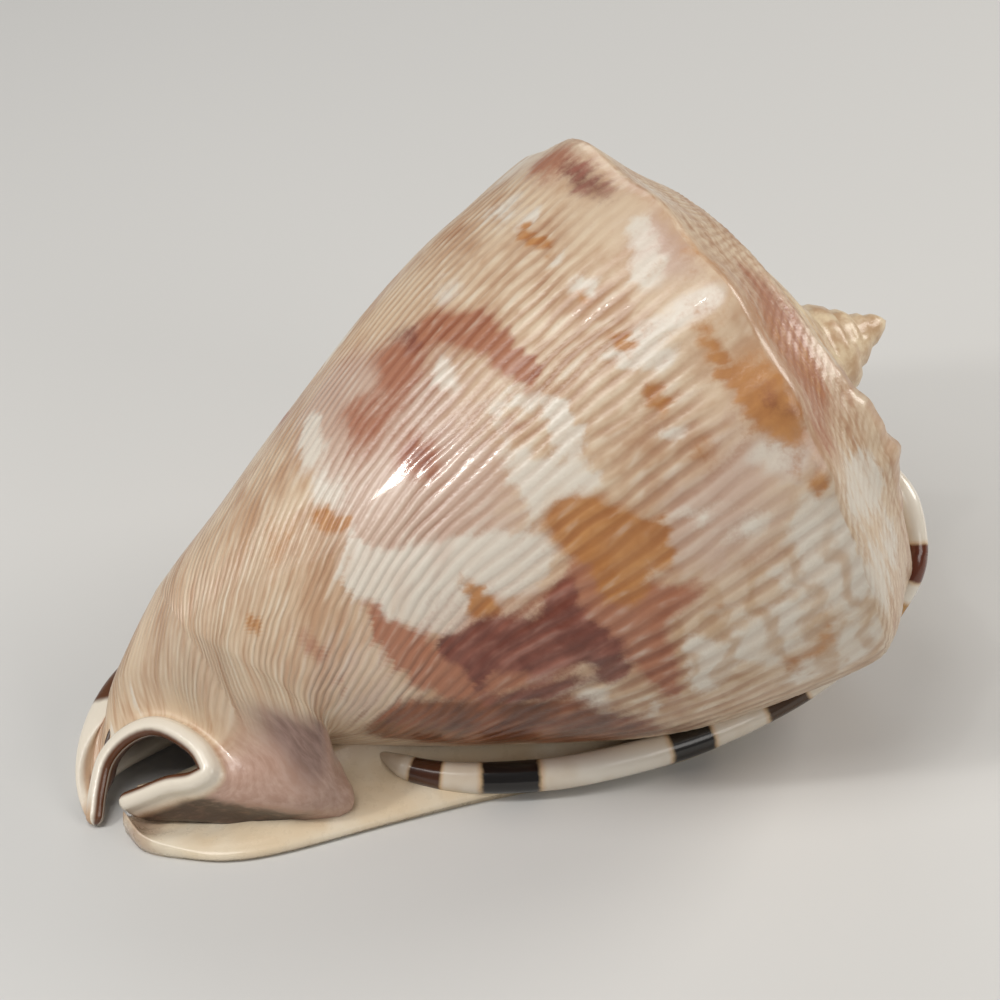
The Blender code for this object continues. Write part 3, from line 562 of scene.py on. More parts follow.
RED_MARKS = (
    (173, 0.972, 4, 0.024, 0.4), (166, 0.945, 5, 0.014, 0.2), (196, 0.600, 7, 0.060, 0.4),
    (203, 0.550, 15, 0.060, 0.6), (199, 0.430, 13, 0.050, 0.6), (211, 0.450, 9, 0.060, 0.6),
    (115, 0.535, 7, 0.030, 0.7), (123, 0.552, 6, 0.030, 0.7), (123, 0.640, 6, 0.030, 0.9),
    (129, 0.655, 5, 0.024, 0.9), (138, 0.680, 6, 0.019, 1.1), (143, 0.690, 3, 0.013, 0.8),
    (119, 0.605, 4, 0.022, 0.7), (146, 0.492, 7, 0.028, 0.9), (126, 0.480, 7, 0.050, 0.5),
    (131, 0.440, 7, 0.032, 0.5), (118, 0.440, 5, 0.030, 0.4), (197, 0.340, 8, 0.026, 0.9),
    (188, 0.332, 7, 0.016, 0.8), (206, 0.365, 6, 0.032, 0.8), (180, 0.320, 6, 0.010, 0.7),
    (213, 0.380, 6, 0.030, 0.7), (200, 0.640, 6, 0.034, 1.0), (208, 0.650, 6, 0.038, 1.0),
    (216, 0.668, 5, 0.022, 0.9), (199, 0.695, 4, 0.030, 0.8), (192, 0.620, 4, 0.022, 0.9),
    (200, 0.745, 2.5, 0.030, 0.8), (223, 0.664, 4, 0.012, 0.7), (153, 0.630, 3, 0.030, 0.5),
    (178, 0.210, 9, 0.018, 0.5), (187, 0.225, 5, 0.014, 0.5), (206, 0.230, 7, 0.010, 0.5),
    (104, 0.945, 8, 0.040, 0.8), (186, 0.640, 7, 0.014, 0.5), (198, 0.870, 3, 0.050, 0.4),
    (166, 1.53, 9, 0.17, 1.1), (157, 1.30, 12, 0.30, 0.4), (174, 1.25, 8, 0.30, 0.4),
    (183, 1.15, 5, 0.20, 0.4), (158, 1.85, 8, 0.16, 0.5), (148, 1.62, 6, 0.15, 0.4))
BELLY_MARKS = (
    (226, 0.440, 8, 0.090, 0.7), (236, 0.500, 8, 0.100, 1.0), (241, 0.380, 12, 0.110, 1.1),
    (223, 0.350, 7, 0.055, 0.6), (247, 0.560, 7, 0.110, 1.0), (234, 0.280, 12, 0.040, 0.6))
PINK_MARKS = (
    (150, 0.480, 40, 0.110, 1.0), (112, 0.480, 14, 0.090, 0.6), (192, 0.860, 17, 0.120, 1.0),
    (136, 0.965, 9, 0.040, 0.9), (104, 0.950, 10, 0.050, 0.5), (150, 0.400, 28, 0.050, 0.8),
    (205, 0.250, 30, 0.080, 0.5), (150, 1.10, 20, 0.30, 0.2), (170, 1.70, 20, 0.30, 0.3))
CREAM_MARKS = (
    (108, 0.660, 14, 0.080, 0.9), (100, 0.560, 10, 0.060, 0.7), (125, 0.900, 22, 0.045, 0.8),
    (126, 0.960, 5, 0.035, 1.0), (152, 0.960, 8, 0.050, 0.8), (155, 0.660, 22, 0.050, 0.6),
    (218, 0.840, 16, 0.130, 0.9), (200, 0.980, 20, 0.050, 0.7), (205, 1.30, 20, 0.40, 1.0))

MARKS = {"white": WHITE_MARKS, "orange": ORANGE_MARKS, "purple": PURPLE_MARKS, "red": RED_MARKS,
         "belly": BELLY_MARKS, "pink": PINK_MARKS, "cream": CREAM_MARKS}
UNMARKED = dict.fromkeys(MARKS, 0.0)
HALVING = 0.693             # brings a mark to half its strength at its half width


def ragged_place(growth, ring, phase):
    """Where a blotch's edge is looked up: it runs out in tongues along the ribs."""
    tongue = 0.004 * np.cos(2 * pi * phase) * (1 + 0.6 * wavy(0.8 * phase, 7 * ring))
    tongue = tongue + 0.010 * wavy(1.9 * phase, 1.1 * phase + 9 * ring) + 0.010 * wavy(0.4 * phase, 6 * ring)
    return growth + 2.2 * wavy(23 * ring + 0.3 * phase, 41 * ring), ring + tongue


def marked(marks, growth, ring):
    """How far each point is inside a set of soft ovals: half a mark's strength at its half width."""
    total = np.zeros_like(growth)
    for angle, at, wide, tall, strength in marks:
        apart = ((growth - angle) / wide) ** 2 + ((ring - at) / tall) ** 2
        total = total + strength * np.exp(-HALVING * apart)
    return total


# ---- meshes
class Net:
    """Gathers points in shell lengths, faces and named numbers per point; makes one mesh object."""

    def __init__(self):
        self.points, self.faces, self.facts, self.count = [], [], {}, 0

    def add(self, points, **facts):
        size = len(points)
        self.points.append(np.asarray(points, float))
        for name, value in facts.items():
            kept = self.facts.setdefault(name, [])
            kept.append(np.broadcast_to(np.asarray(value, float), size).copy())
        first = self.count
        self.count += size
        return np.arange(first, first + size)

    def face(self, *corners):
        self.faces.append(tuple(map(int, corners)))

    def strip(self, low, high, closed):
        """Quads between two rows of the same length."""
        ends = (np.roll(low, -1), np.roll(high, -1)) if closed else (low[1:], high[1:])
        cut = len(low) if closed else len(low) - 1
        for corners in zip(low[:cut], high[:cut], ends[1][:cut], ends[0][:cut]):
            self.face(*corners)

    def halve(self, low, high):
        """Faces between a closed row and one of half its length."""
        count = len(high)
        for i in range(count):
            a, b, c = low[2 * i], low[2 * i + 1], low[(2 * i + 2) % len(low)]
            d, e = high[i], high[(i + 1) % count]
            for corners in ((a, d, b), (b, d, e), (b, e, c)):
                self.face(*corners)

    def tube(self, rows):
        """A closed section carried from row to row, with a face on each end."""
        for low, high in zip(rows, rows[1:]):
            self.strip(low, high, True)
        for end in (rows[0], rows[-1]):
            self.face(*end)

    def made(self, name, material, merge=2e-6):
        points = np.vstack(self.points)
        points[:, 0] -= BOX_MIDDLE[0]
        points[:, 1] -= BOX_MIDDLE[1]
        points[:, 2] = np.maximum(points[:, 2], 0.0)
        points *= LENGTH
        low, high = np.array(cad_box[0]), np.array(cad_box[1])
        points = np.clip(points, low, high)
        mesh = bpy.data.meshes.new(name)
        mesh.from_pydata(points.tolist(), [], [tuple(dict.fromkeys(f)) for f in self.faces])
        for label, values in self.facts.items():
            held = mesh.attributes.new(label, "FLOAT", "POINT")
            held.data.foreach_set("value", np.concatenate(values).astype(np.float32))
        loose = bmesh.new()
        loose.from_mesh(mesh)
        bmesh.ops.remove_doubles(loose, verts=loose.verts, dist=merge)
        bmesh.ops.recalc_face_normals(loose, faces=loose.faces)
        loose.to_mesh(mesh)
        loose.free()
        mesh.shade_smooth()
        mesh.materials.append(material)
        made = bpy.data.objects.new(name, mesh)
        bpy.context.scene.collection.objects.link(made)
        return made


def rounded(points, near, passes):
    """The surface averaged along its columns, as strongly as near says; rows keep their spacing."""
    gaps = np.maximum(np.linalg.norm(np.diff(points, axis=0), axis=2), 1e-6)[..., None]
    before = gaps[1:] / (gaps[1:] + gaps[:-1])
    for _ in range(passes):
        middle = points[:-2] * before + points[2:] * (1 - before)
        points[1:-1] += 0.5 * (middle - points[1:-1]) * near[1:-1, :, None]
    return points


def rounded_shoulder(points, growth, rings):
    """The shoulder's edge worn round, but for its knobs."""
    near = rise(0.80, 0.97, rings) * fall(1.10, 1.35, rings)
    knobs = np.clip(knob_height(growth, rings) / KNOB_SPARED, 0, 1)
    return rounded(points, near * (1 - 0.8 * knobs), SHOULDER_PASSES)


def rounded_neck(points, share, rings, canal):
    """The neck, where the body runs out into the canal, filled to a soft hollow."""
    behind = rings - neck_ring(share)
    near = rise(0.45, 0.75, canal) * fall(0.10, 0.30, behind)
    near = near * rise(0.16, 0.28, share) * fall(0.80, 0.90, share)
    return rounded(points, near, NECK_PASSES)


def body_facts(share, growth, ring, canal):
    """The rib phase and how strongly the ribs show, both made uneven, over the outer half."""
    phase = rib_count(growth, ring) + 0.30 * wavy(7 * ring + 0.05 * growth, 0.11 * growth)
    phase = phase + 0.24 * wavy(43 * ring + 0.21 * growth, 23 * ring - 0.33 * growth, 0.9 * phase)
    ribbed = ribbed_share(share, growth, ring, canal)
    uneven = wavy(27 * ring + 0.4 * phase, 0.23 * phase - 15 * ring, 0.7 * phase)
    ribbed = ribbed * np.clip(0.72 + 0.55 * uneven, 0.15, 1.1)
    return phase, ribbed


def shell_body(material):
    shares = outer_shares()
    inner_share = np.linspace(0, 1, INNER_COLUMNS + 1)
    along = spline_through(shares, *MOUTH_SHARE_OUTER)
    inner_along = spline_through(inner_share, *MOUTH_SHARE_INNER)
    outer, rings = outer_grid(shares, along)
    growth = np.broadcast_to(column_growth(shares), rings.shape)
    share = np.broadcast_to(shares, rings.shape)
    canal = np.ones_like(rings)
    canal[:CANAL_ROWS] = np.linspace(0, 1, CANAL_ROWS + 1)[:-1, None]
    outer = rounded_neck(outer, share, rings, canal)
    inner, inner_rings = inner_grid(inner_share, inner_along, outer, shares)
    phase, ribbed = body_facts(share, growth, rings, canal)
    outer = rounded_shoulder(outer, growth, rings)
    outward = -unit(np.cross(np.gradient(outer, axis=0), np.gradient(outer, axis=1)))
    relief = outer_relief(share, growth, rings, canal, phase, ribbed)
    radius = wall(growth, rings)[1]
    on_top = rise(1.35, 1.8, rings)
    sutures, turns = suture_relief(radius, growth)
    relief = relief + sutures * on_top
    outer = outer + outward * relief[..., None]
    net = Net()
    rows = []
    for i in range(len(outer)):
        facts = {name: marked(marks, *ragged_place(growth[i], rings[i], phase[i]))
                 for name, marks in MARKS.items()}
        facts.update(phase=phase[i], ring=rings[i], growth=growth[i], ribbed=ribbed[i], side=0.0,
                     share=shares, canal=canal[i], turns=turns[i])
        here = net.add(outer[i], **facts)
        there = net.add(inner[i][1:-1], phase=0.0, ribbed=0.0, turns=0.0, ring=inner_rings[i][1:-1],
                        growth=inner_growth(inner_share[1:-1]), share=1 + inner_share[1:-1],
                        side=fall(1.3, 1.9, inner_rings[i][1:-1]),
                        canal=canal[i][0] if i < CANAL_ROWS else 1.0, **UNMARKED)
        rows.append(np.concatenate([here, there]))
    for low, high in zip(rows, rows[1:]):
        net.strip(low, high, True)
    spire(net, rows[-1], growth[-1], inner_share)
    rolled_rim(net, rows[0], along, inner_along)
    return net.made("shell_body", material)


def spire(net, start, growth, inner_share):
    """Rows from the end of the ramp to the apex, halving the columns twice on the way up."""
    angles = np.concatenate([growth, inner_growth(inner_share[1:-1])])
    previous = start
    for count, left in enumerate(np.linspace(1, 0, SPIRE_ROWS + 1)[1:-1]):
        halving = count in (0, SPIRE_ROWS // 2)
        if halving:
            angles = angles[::2]
        ring = 3 - left ** 1.3
        rings = np.full_like(angles, ring)
        points = wall_point(angles, rings)
        sutures, turns = suture_relief(wall(angles, rings)[1], angles)
        up = wall_point(angles, rings + 0.004) - points
        outward = unit(np.cross(wall_point(angles + 1, rings) - points, up))
        row = net.add(points + outward * sutures[:, None], phase=rib_count(angles, 2.0), ring=ring,
                      growth=angles, ribbed=0.2 * fall(2.0, 2.2, ring), side=0.0,
                      share=0.5, canal=1.0, turns=turns, **UNMARKED)
        if halving:
            net.halve(previous, row)
        else:
            net.strip(previous, row, True)
        previous = row
    apex = net.add(wall_point(np.zeros(1), np.full(1, 3.0)), phase=0.0, ring=3.0, growth=0.0,
                   ribbed=0.0, side=0.0, share=0.5, canal=1.0, turns=7.0, **UNMARKED)[0]
    for corner, after in zip(previous, np.roll(previous, -1)):
        net.face(corner, apex, after)


def rolled_rim(net, ring, outer_along, inner_along):
    """The enamelled roll round the canal's mouth, from its outer edge over the crest inward."""
    facts = dict(phase=0.0, ring=-0.2, growth=0.0, ribbed=0.0, turns=0.0, side=0.0, **UNMARKED)
    count = len(outer_along)
    outer = ring[:count]
    inner = np.concatenate([[ring[count - 1]], ring[count:], [ring[0]]])
    first, last = outer[0], outer[-1]
    share = np.interp(outer_along, *MOUTH_SHARE_OUTER[::-1])
    for turn in (22.5, 45, 67.5, 90):
        crest = net.add(mouth_point(outer_along, turn), share=share, canal=-turn / 180, **facts)
        crest[0], crest[-1] = first, last
        net.strip(outer, crest, False)
        outer = crest
    low = inner
    for turn in (157.5, 135, 112.5):
        middle = net.add(mouth_point(inner_along, turn), share=1.5, canal=-turn / 180, **facts)
        middle[0], middle[-1] = low[0], low[-1]
        net.strip(low, middle, False)
        low = middle
    low, along = low[::-1], inner_along[::-1]
    i = j = 0
    while i < count - 1 or j < len(low) - 1:
        outer_next = outer_along[i + 1] if i < count - 1 else 2.0
        inner_next = along[j + 1] if j < len(low) - 1 else 2.0
        if outer_next <= inner_next:
            corners = (outer[i], outer[i + 1], low[j])
            i += 1
        else:
            corners = (outer[i], low[j + 1], low[j])
            j += 1
        if len(set(map(int, corners))) == 3:
            net.face(*corners)


def shield(material):
    """The parietal shield: a glossy sheet from the columella to a free margin, flat below."""
    way = np.linspace(0, 1, SHIELD_ROWS)
    knots = np.linspace(0, 1, len(SHIELD_MARGIN))
    margin = spline_through(way, knots, SHIELD_MARGIN)
    root = spline_through(way, knots, SHIELD_ROOT)
    inner = spline_through(way, knots, SHIELD_INNER)
    net = Net()
    rows = []
    across = np.linspace(0, 1, SHIELD_STEPS)
    roll_turns = np.linspace(0, pi, ROLL_STEPS + 2)[1:-1]
    for at, m, r, n in zip(way, margin, root, inner):
        rolled = fall(0.04, 0.30, at)
        lift = np.array([0, 0, SHIELD_EDGE + 0.014 * rolled])
        over = unit(m - r) * SHIELD_EDGE * 0.5
        dip = np.array([0, 0, 0.026 * fall(0.25, 0.50, at)])
        start = r - dip
        upper = bezier(across, start, start + (m - r) * 0.35 - [0, 0, 0.6 * (start[2] - m[2])],
                       m + (r - m) * (0.35 - 0.15 * rolled) + lift * (1 - 0.9 * rolled), m + lift)
        upper[:, 2] = np.maximum(upper[:, 2], 0.003)
        upper[:, 2] -= 0.0010 * np.sin(pi * across) * (1 + wavy(60 * at + 7 * across, 23 * at))
        roll = [m + over * sin(turn) + lift * (0.5 + 0.5 * cos(turn)) for turn in roll_turns]
        under = [m * [1, 1, 0], n * [1, 1, 0] + (m - n) * [0.5, 0.5, 0], n * [1, 1, 0], n, (n + r) / 2]
        section = np.array(list(upper) + roll + under)
        depth = np.concatenate([across, np.ones(ROLL_STEPS), (1.1, 1.3, 1.5, 1.6, 1.7)])
        rows.append(net.add(section, way=at, across=depth))
    net.tube(rows)
    return net.made("shell_shield", material)


def old_lip(material):
    """The former varix: a smooth roll from the shield round to the spire."""
    path = np.asarray(OLD_LIP, float)
    way = np.linspace(0, 1, OLD_LIP_ROWS)
    line = spline_through(way, np.linspace(0, 1, len(path)), path)
    heading = unit(np.gradient(line[:, :3], axis=0))
    net = Net()
    rows = []
    for at, point, forward in zip(way, line, heading):
        side = unit(np.cross(forward, [0.25, 0.5, 0.85]))
        up = np.cross(side, forward)
        turns = np.linspace(0, 2 * pi, OLD_LIP_SIDES + 1)[:-1]
        thick = point[3] * max(min(at / 0.07, 1.0), 0.06) ** 0.6
        thick *= 1 - 0.22 * rise(0.42, 0.55, at) * fall(0.85, 0.95, at)
        rows.append(net.add([point[:3] + thick * (cos(t) * side + sin(t) * up) for t in turns],
                            way=at, around=turns / (2 * pi)))
    net.tube(rows)
    return net.made("shell_old_lip", material)


# ---- materials
MILLIMETRES = 1000.0        # in a metre
FINE_GRAIN = 0.00010        # metres, the height of the enamel's grain
SHELL_IOR = 1.45


class Paint:
    """A few short calls for building a node material."""

    def __init__(self, name):
        self.material = bpy.data.materials.new(name)
        self.material.use_nodes = True
        self.tree = self.material.node_tree
        self.shader = self.tree.nodes["Principled BSDF"]

    def node(self, kind, **settings):
        made = self.tree.nodes.new("ShaderNode" + kind)
        for name, value in settings.items():
            setattr(made, name, value)
        return made

    def put(self, socket, value):
        if isinstance(value, bpy.types.NodeSocket):
            self.tree.links.new(value, socket)
        elif isinstance(value, tuple) and len(value) == 3 and socket.type == "RGBA":
            socket.default_value = (*value, 1.0)
        else:
            socket.default_value = value

    def fact(self, name):
        return self.node("Attribute", attribute_name=name).outputs["Fac"]

    def math(self, operation, a, b=0.0, c=0.0):
        made = self.node("Math", operation=operation)
        for socket, value in zip(made.inputs, (a, b, c)):
            self.put(socket, value)
        return made.outputs[0]

    def add(self, a, b):
        return self.math("ADD", a, b)

    def times(self, a, b):
        return self.math("MULTIPLY", a, b)

    def less(self, a, b):
        return self.math("SUBTRACT", a, b)

    def step(self, value, low, high):
        """0 below low, 1 above high, smooth between."""
        made = self.node("MapRange", interpolation_type="SMOOTHSTEP")
        for name, part in (("Value", value), ("From Min", low), ("From Max", high)):
            self.put(made.inputs[name], part)
        return made.outputs[0]

    def fade(self, value, low, high):
        """1 below low, 0 above high, smooth between."""
        return self.less(1.0, self.step(value, low, high))

    def band(self, value, low, full, waning, gone):
        """1 between full and waning, 0 outside low and gone."""
        return self.times(self.step(value, low, full), self.fade(value, waning, gone))

    def vector(self, x, y):
        made = self.node("CombineXYZ")
        for socket, value in zip(made.inputs, (x, y)):
            self.put(socket, value)
        return made.outputs[0]

    def noise(self, at, scale, detail=3.0, rough=0.5, warp=0.0):
        made = self.node("TexNoise")
        for name, value in (("Vector", at), ("Scale", scale), ("Detail", detail),
                            ("Roughness", rough), ("Distortion", warp)):
            self.put(made.inputs[name], value)
        return made.outputs["Fac"]

    def swing(self, at, scale, detail=3.0, rough=0.5, warp=0.0):
        """Noise stretched to run between about -1 and 1."""
        return self.times(self.less(self.noise(at, scale, detail, rough, warp), 0.5), 3.5)

    def mix(self, share, a, b, mode="MIX"):
        made = self.node("Mix", data_type="RGBA", blend_type=mode)
        self.put(made.inputs["Factor"], share)
        self.put(made.inputs[6], a)
        self.put(made.inputs[7], b)
        return made.outputs[2]

    def place(self):
        """The point's own place, in millimetres."""
        coordinates = self.node("TexCoord").outputs["Object"]
        made = self.node("VectorMath", operation="SCALE")
        self.put(made.inputs[0], coordinates)
        made.inputs["Scale"].default_value = MILLIMETRES
        return made.outputs[0]

    def bump(self, height, strength, distance=FINE_GRAIN):
        made = self.node("Bump")
        made.inputs["Strength"].default_value = strength
        made.inputs["Distance"].default_value = distance
        self.put(made.inputs["Height"], height)
        self.put(self.shader.inputs["Normal"], made.outputs[0])

    def surface(self, colour, roughness, coat, coat_roughness):
        for name, value in (("Base Color", colour), ("Roughness", roughness), ("Coat Weight", coat),
                            ("Coat Roughness", coat_roughness), ("IOR", SHELL_IOR)):
            self.put(self.shader.inputs[name], value)


# the body: ground, blotches and ribs
CREAM, TAN, LAVENDER = (0.66, 0.52, 0.37), (0.48, 0.300, 0.185), (0.55, 0.400, 0.325)
# GROOVE_SHADE is painted shade, multiplied into the grooves between the ribs
WHITE, SCALLOP, GROOVE_SHADE = (0.70, 0.64, 0.55), (0.47, 0.285, 0.150), (0.66, 0.49, 0.41)
RED_BROWN = (0.36, 0.130, 0.066)
ORANGE, PALE_ORANGE = (0.36, 0.140, 0.042), (0.52, 0.25, 0.085)
BELLY, PALE_BELLY = (0.085, 0.020, 0.003), (0.30, 0.095, 0.032)
PURPLE, PALE_PURPLE = (0.125, 0.025, 0.016), (0.32, 0.120, 0.085)
# the lip, the canal, the inside and the spire
ENAMEL, SPOT, ALMOND = (0.76, 0.69, 0.58), (0.10, 0.035, 0.012), (0.13, 0.055, 0.045)
WORN_RIM, INNER_RIM = (0.42, 0.22, 0.09), (0.12, 0.045, 0.02)
FASCIOLE, PALE_FASCIOLE = (0.40, 0.24, 0.18), (0.52, 0.35, 0.28)
NECK, PALE_NECK = (0.10, 0.052, 0.046), (0.22, 0.135, 0.115)
# the fold's underside: dark brown with painted shade, in streaks
UNDERSIDE_BROWN_AND_SHADE, PALE_UNDERSIDE_BROWN_AND_SHADE = (0.030, 0.014, 0.009), (0.16, 0.085, 0.055)
# CANAL_SHADE is painted shade, near black, for deep in the canal
THROAT, DEEP_THROAT, CANAL_SHADE = (0.62, 0.42, 0.26), (0.30, 0.13, 0.06), (0.010, 0.006, 0.005)
CHALK, BROWN_CHALK, SUTURE = (0.76, 0.62, 0.42), (0.50, 0.32, 0.18), (0.30, 0.15, 0.07)

# where the edge of each kind of mark begins and where its colour is full
MARK_EDGES = {"pink": (0.15, 0.85), "cream": (0.25, 0.95), "white": (0.28, 0.70), "red": (0.16, 0.84),
              "orange": (0.20, 0.84), "purple": (0.22, 0.80), "belly": (0.25, 0.85)}


def body_fields(p):
    """A point's stored numbers; noise in ribs across and in shares of the body along them."""
    names = ("phase", "ring", "growth", "ribbed", "side", "canal", "share", "turns", *MARKS)
    at = SimpleNamespace(**{name: p.fact(name) for name in names})
    at.wave = p.math("COSINE", p.times(at.phase, 2 * pi))
    at.rim = p.fade(at.canal, p.times(at.side, -0.02), p.less(0.09, p.times(at.side, 0.08)))
    at.dashes = p.swing(p.vector(at.phase, p.times(at.ring, 20.0)), 0.90, 2.0, 0.5)
    at.tongues = p.swing(p.vector(at.phase, p.times(at.ring, 26.0)), 0.45, 3.0, 0.6)
    at.clouds = p.swing(p.vector(p.times(at.phase, 1.5), p.times(at.ring, 60.0)), 0.10, 3.0, 0.5, 0.5)
    at.grain = p.noise(p.place(), 2.2, 4.0, 0.6)
    return at


def rag_marks(p, at):
    """Each kind of mark with a ragged edge; the hidden side has blotches of its own."""
    ragged = p.add(p.times(at.tongues, 0.24), p.times(at.dashes, 0.14))
    ragged = p.add(ragged, p.add(p.times(at.clouds, 0.08), p.times(p.less(at.grain, 0.5), 0.3)))
    unseen = p.fade(at.growth, 72.0, 98.0)
    pale = p.step(p.swing(p.vector(at.phase, p.times(at.ring, 34.0)), 0.13, 2.0, 0.5, 0.8), 0.0, 0.5)
    dark = p.step(p.swing(p.vector(at.phase, p.times(at.ring, 40.0)), 0.10, 2.0, 0.5, 1.0), 0.2, 0.6)
    at.white = p.add(at.white, p.times(unseen, pale))
    at.red = p.add(at.red, p.times(unseen, dark))
    for name, (low, high) in MARK_EDGES.items():
        setattr(at, name, p.step(p.add(getattr(at, name), ragged), low, high))


def scallops(p, at):
    """Scalloped brown lines toward the former lip."""
    zigzag = p.add(p.times(p.math("COSINE", p.times(at.phase, 2.1)), 1.1), p.times(at.clouds, 2.4))
    line = p.math("SINE", p.add(p.times(at.ring, 92.0), p.add(zigzag, p.times(at.tongues, 2.6))))
    line = p.step(p.add(line, p.times(at.dashes, 0.7)), -0.5, 1.3)
    line = p.times(line, p.times(p.step(at.growth, 190.0, 206.0), p.step(at.ring, 0.60, 0.74)))
    return p.times(line, p.fade(at.ring, 0.97, 1.05))


def ground_and_marks(p, at):
    """Cream to tan, pinker in places, with the blotches laid over it."""
    ground = p.mix(p.step(p.add(at.clouds, p.times(at.dashes, 0.8)), -0.9, 0.7), TAN, CREAM)
    ground = p.mix(p.times(at.pink, 0.8), ground, LAVENDER)
    ground = p.mix(p.times(at.cream, 0.75), ground, CREAM)
    marbled = p.step(p.add(p.times(at.dashes, 0.5), p.add(at.tongues, p.times(at.clouds, 0.4))), -1.7, 0.5)
    colour = p.mix(p.times(at.white, p.add(0.30, p.times(marbled, 0.65))), ground, WHITE)
    colour = p.mix(p.times(scallops(p, at), 0.60), colour, SCALLOP)
    colour = p.mix(p.times(at.red, 0.86), colour, RED_BROWN)
    orange = p.mix(p.step(at.tongues, -1.0, 1.0), ORANGE, PALE_ORANGE)
    colour = p.mix(p.times(at.orange, 0.92), colour, orange)
    streaks = p.add(p.times(at.tongues, 0.7), p.times(at.dashes, 0.6))
    belly = p.mix(p.step(streaks, -0.9, 0.9), BELLY, PALE_BELLY)
    colour = p.mix(p.times(at.belly, 0.97), colour, belly)
    purple = p.mix(p.step(streaks, -0.5, 0.9), PURPLE, PALE_PURPLE)
    return p.mix(p.times(at.purple, 0.90), colour, purple)


def paint_ribs(p, at, colour):
    """Painted shade in the grooves, and pale crests in broken dashes that are partly the shell's own and
    partly painted highlight; both weaker over white and over dark marks.
    """
    uneven = p.step(p.add(at.tongues, p.times(at.dashes, 0.5)), -1.2, 0.8)
    # painted shade: the grooves between the ribs are darkened
    groove_shade = p.times(p.times(p.step(at.wave, 0.5, -0.9), at.ribbed), p.add(0.35, p.times(uneven, 0.60)))
    groove_shade = p.times(groove_shade, p.add(0.45, p.times(p.step(at.ring, 0.25, 0.60), 0.55)))
    # pale crests in broken dashes: partly the shell's own white dashes, partly painted highlight
    crest = p.times(p.times(p.step(at.wave, 0.0, 0.95), at.ribbed), p.step(at.dashes, -0.1, 0.8))
    crest = p.times(crest, p.less(1.0, p.times(p.math("MAXIMUM", at.purple, at.belly), 0.75)))
    quiet = p.less(1.0, p.times(at.white, 0.6))
    colour = p.mix(p.times(groove_shade, quiet), colour, GROOVE_SHADE, "MULTIPLY")
    return p.mix(p.times(crest, 0.42), colour, WHITE)


def paint_enamel(p, at, colour):
    """Enamel on the lip, spotted along its edge, and on the canal's rim, which is brown inside."""
    lip = p.times(p.fade(at.share, 0.050, 0.072), p.step(at.ring, -0.25, -0.05))
    along = p.add(p.times(at.ring, 34.0), p.times(at.tongues, 0.3))
    spots = p.step(p.math("SINE", p.add(0.6, along)), 0.30, 0.55)
    colour = p.mix(lip, colour, p.mix(spots, ENAMEL, SPOT))
    rim_colour = p.mix(p.times(p.fade(at.share, 0.01, 0.09), 0.8), ENAMEL, WORN_RIM)
    rim_colour = p.mix(p.step(at.canal, -0.54, -0.72), rim_colour, INNER_RIM)
    return p.mix(at.rim, colour, rim_colour)


def paint_canal(p, at, colour):
    """The small dark hollow beside the lip, and the fasciole beside the canal.

    The fasciole is tan to pink, dark brown and streaked with painted shade under the fold, purple-grey in
    the hollow behind.
    """
    almond = p.band(at.share, 0.072, 0.086, 0.100, 0.115)
    almond = p.times(almond, p.band(at.canal, -0.02, 0.02, 0.12, 0.22))
    colour = p.mix(p.times(almond, 0.85), colour, ALMOND)
    to_neck = p.less(at.canal, p.times(p.less(at.share, 0.68), 2.4))
    below = p.times(p.step(at.canal, 0.04, 0.12), p.fade(to_neck, 0.70, 0.88))
    below = p.times(p.step(at.share, 0.60, 0.70), p.times(below, p.fade(at.canal, 0.94, 1.0)))
    streak = p.swing(p.vector(p.times(at.canal, 30.0), p.times(at.share, 40.0)), 0.8, 3.0, 0.6)
    fasciole = p.mix(p.step(streak, -0.8, 0.8), FASCIOLE, PALE_FASCIOLE)
    behind = p.step(p.add(at.canal, p.times(streak, 0.04)), 0.44, 0.66)
    behind = p.times(behind, p.fade(at.share, 0.75, 0.80))
    neck = p.mix(p.step(streak, -0.9, 0.9), NECK, PALE_NECK)
    fasciole = p.mix(p.times(behind, 0.8), fasciole, neck)
    # painted shade under the canal's fold, over the fasciole's own dark brown
    under_fold = p.add(p.less(at.share, p.times(at.canal, 0.16)), p.times(streak, 0.02))
    shade = p.times(p.step(under_fold, 0.735, 0.785), p.fade(at.canal, 0.42, 0.56))
    underside_brown_and_shade = p.mix(p.step(streak, -0.2, 1.2), UNDERSIDE_BROWN_AND_SHADE, PALE_UNDERSIDE_BROWN_AND_SHADE)
    fasciole = p.mix(p.times(shade, 0.96), fasciole, underside_brown_and_shade)
    return p.mix(p.times(below, 0.95), colour, fasciole)


def paint_inside(p, at, colour):
    """The cream lip face and throat, and the canal, brown inside its rim and with painted shade, near black,
    deeper in.
    """
    throat = p.mix(p.step(p.less(at.share, 1.0), 0.05, 0.35), THROAT, DEEP_THROAT)
    throat = p.mix(p.step(at.share, 1.74, 1.80), throat, ENAMEL)
    # painted shade: the canal's lining goes from brown at its rim to near black further in
    canal_inside_shaded = p.mix(p.step(at.canal, 0.02, 0.25), SPOT, CANAL_SHADE)
    in_canal = p.times(p.fade(at.ring, 0.05, 0.30), p.fade(at.share, 1.70, 1.82))
    return p.mix(at.side, colour, p.mix(in_canal, throat, canal_inside_shaded))


def paint_spire(p, at, colour):
    """The worn cream spire, brown along its first suture."""
    worn = p.times(p.step(at.turns, -0.02, 0.03), p.step(at.ring, 1.5, 1.7))
    patchy = p.swing(p.place(), 0.45, 4.0, 0.6)
    chalk = p.mix(p.step(patchy, -0.6, 0.7), BROWN_CHALK, CHALK)
    chalk = p.mix(p.times(p.step(at.turns, 0.10, 0.0), 0.5), chalk, SUTURE)
    return p.mix(p.times(p.times(worn, p.less(1.0, at.side)), 0.92), colour, chalk)


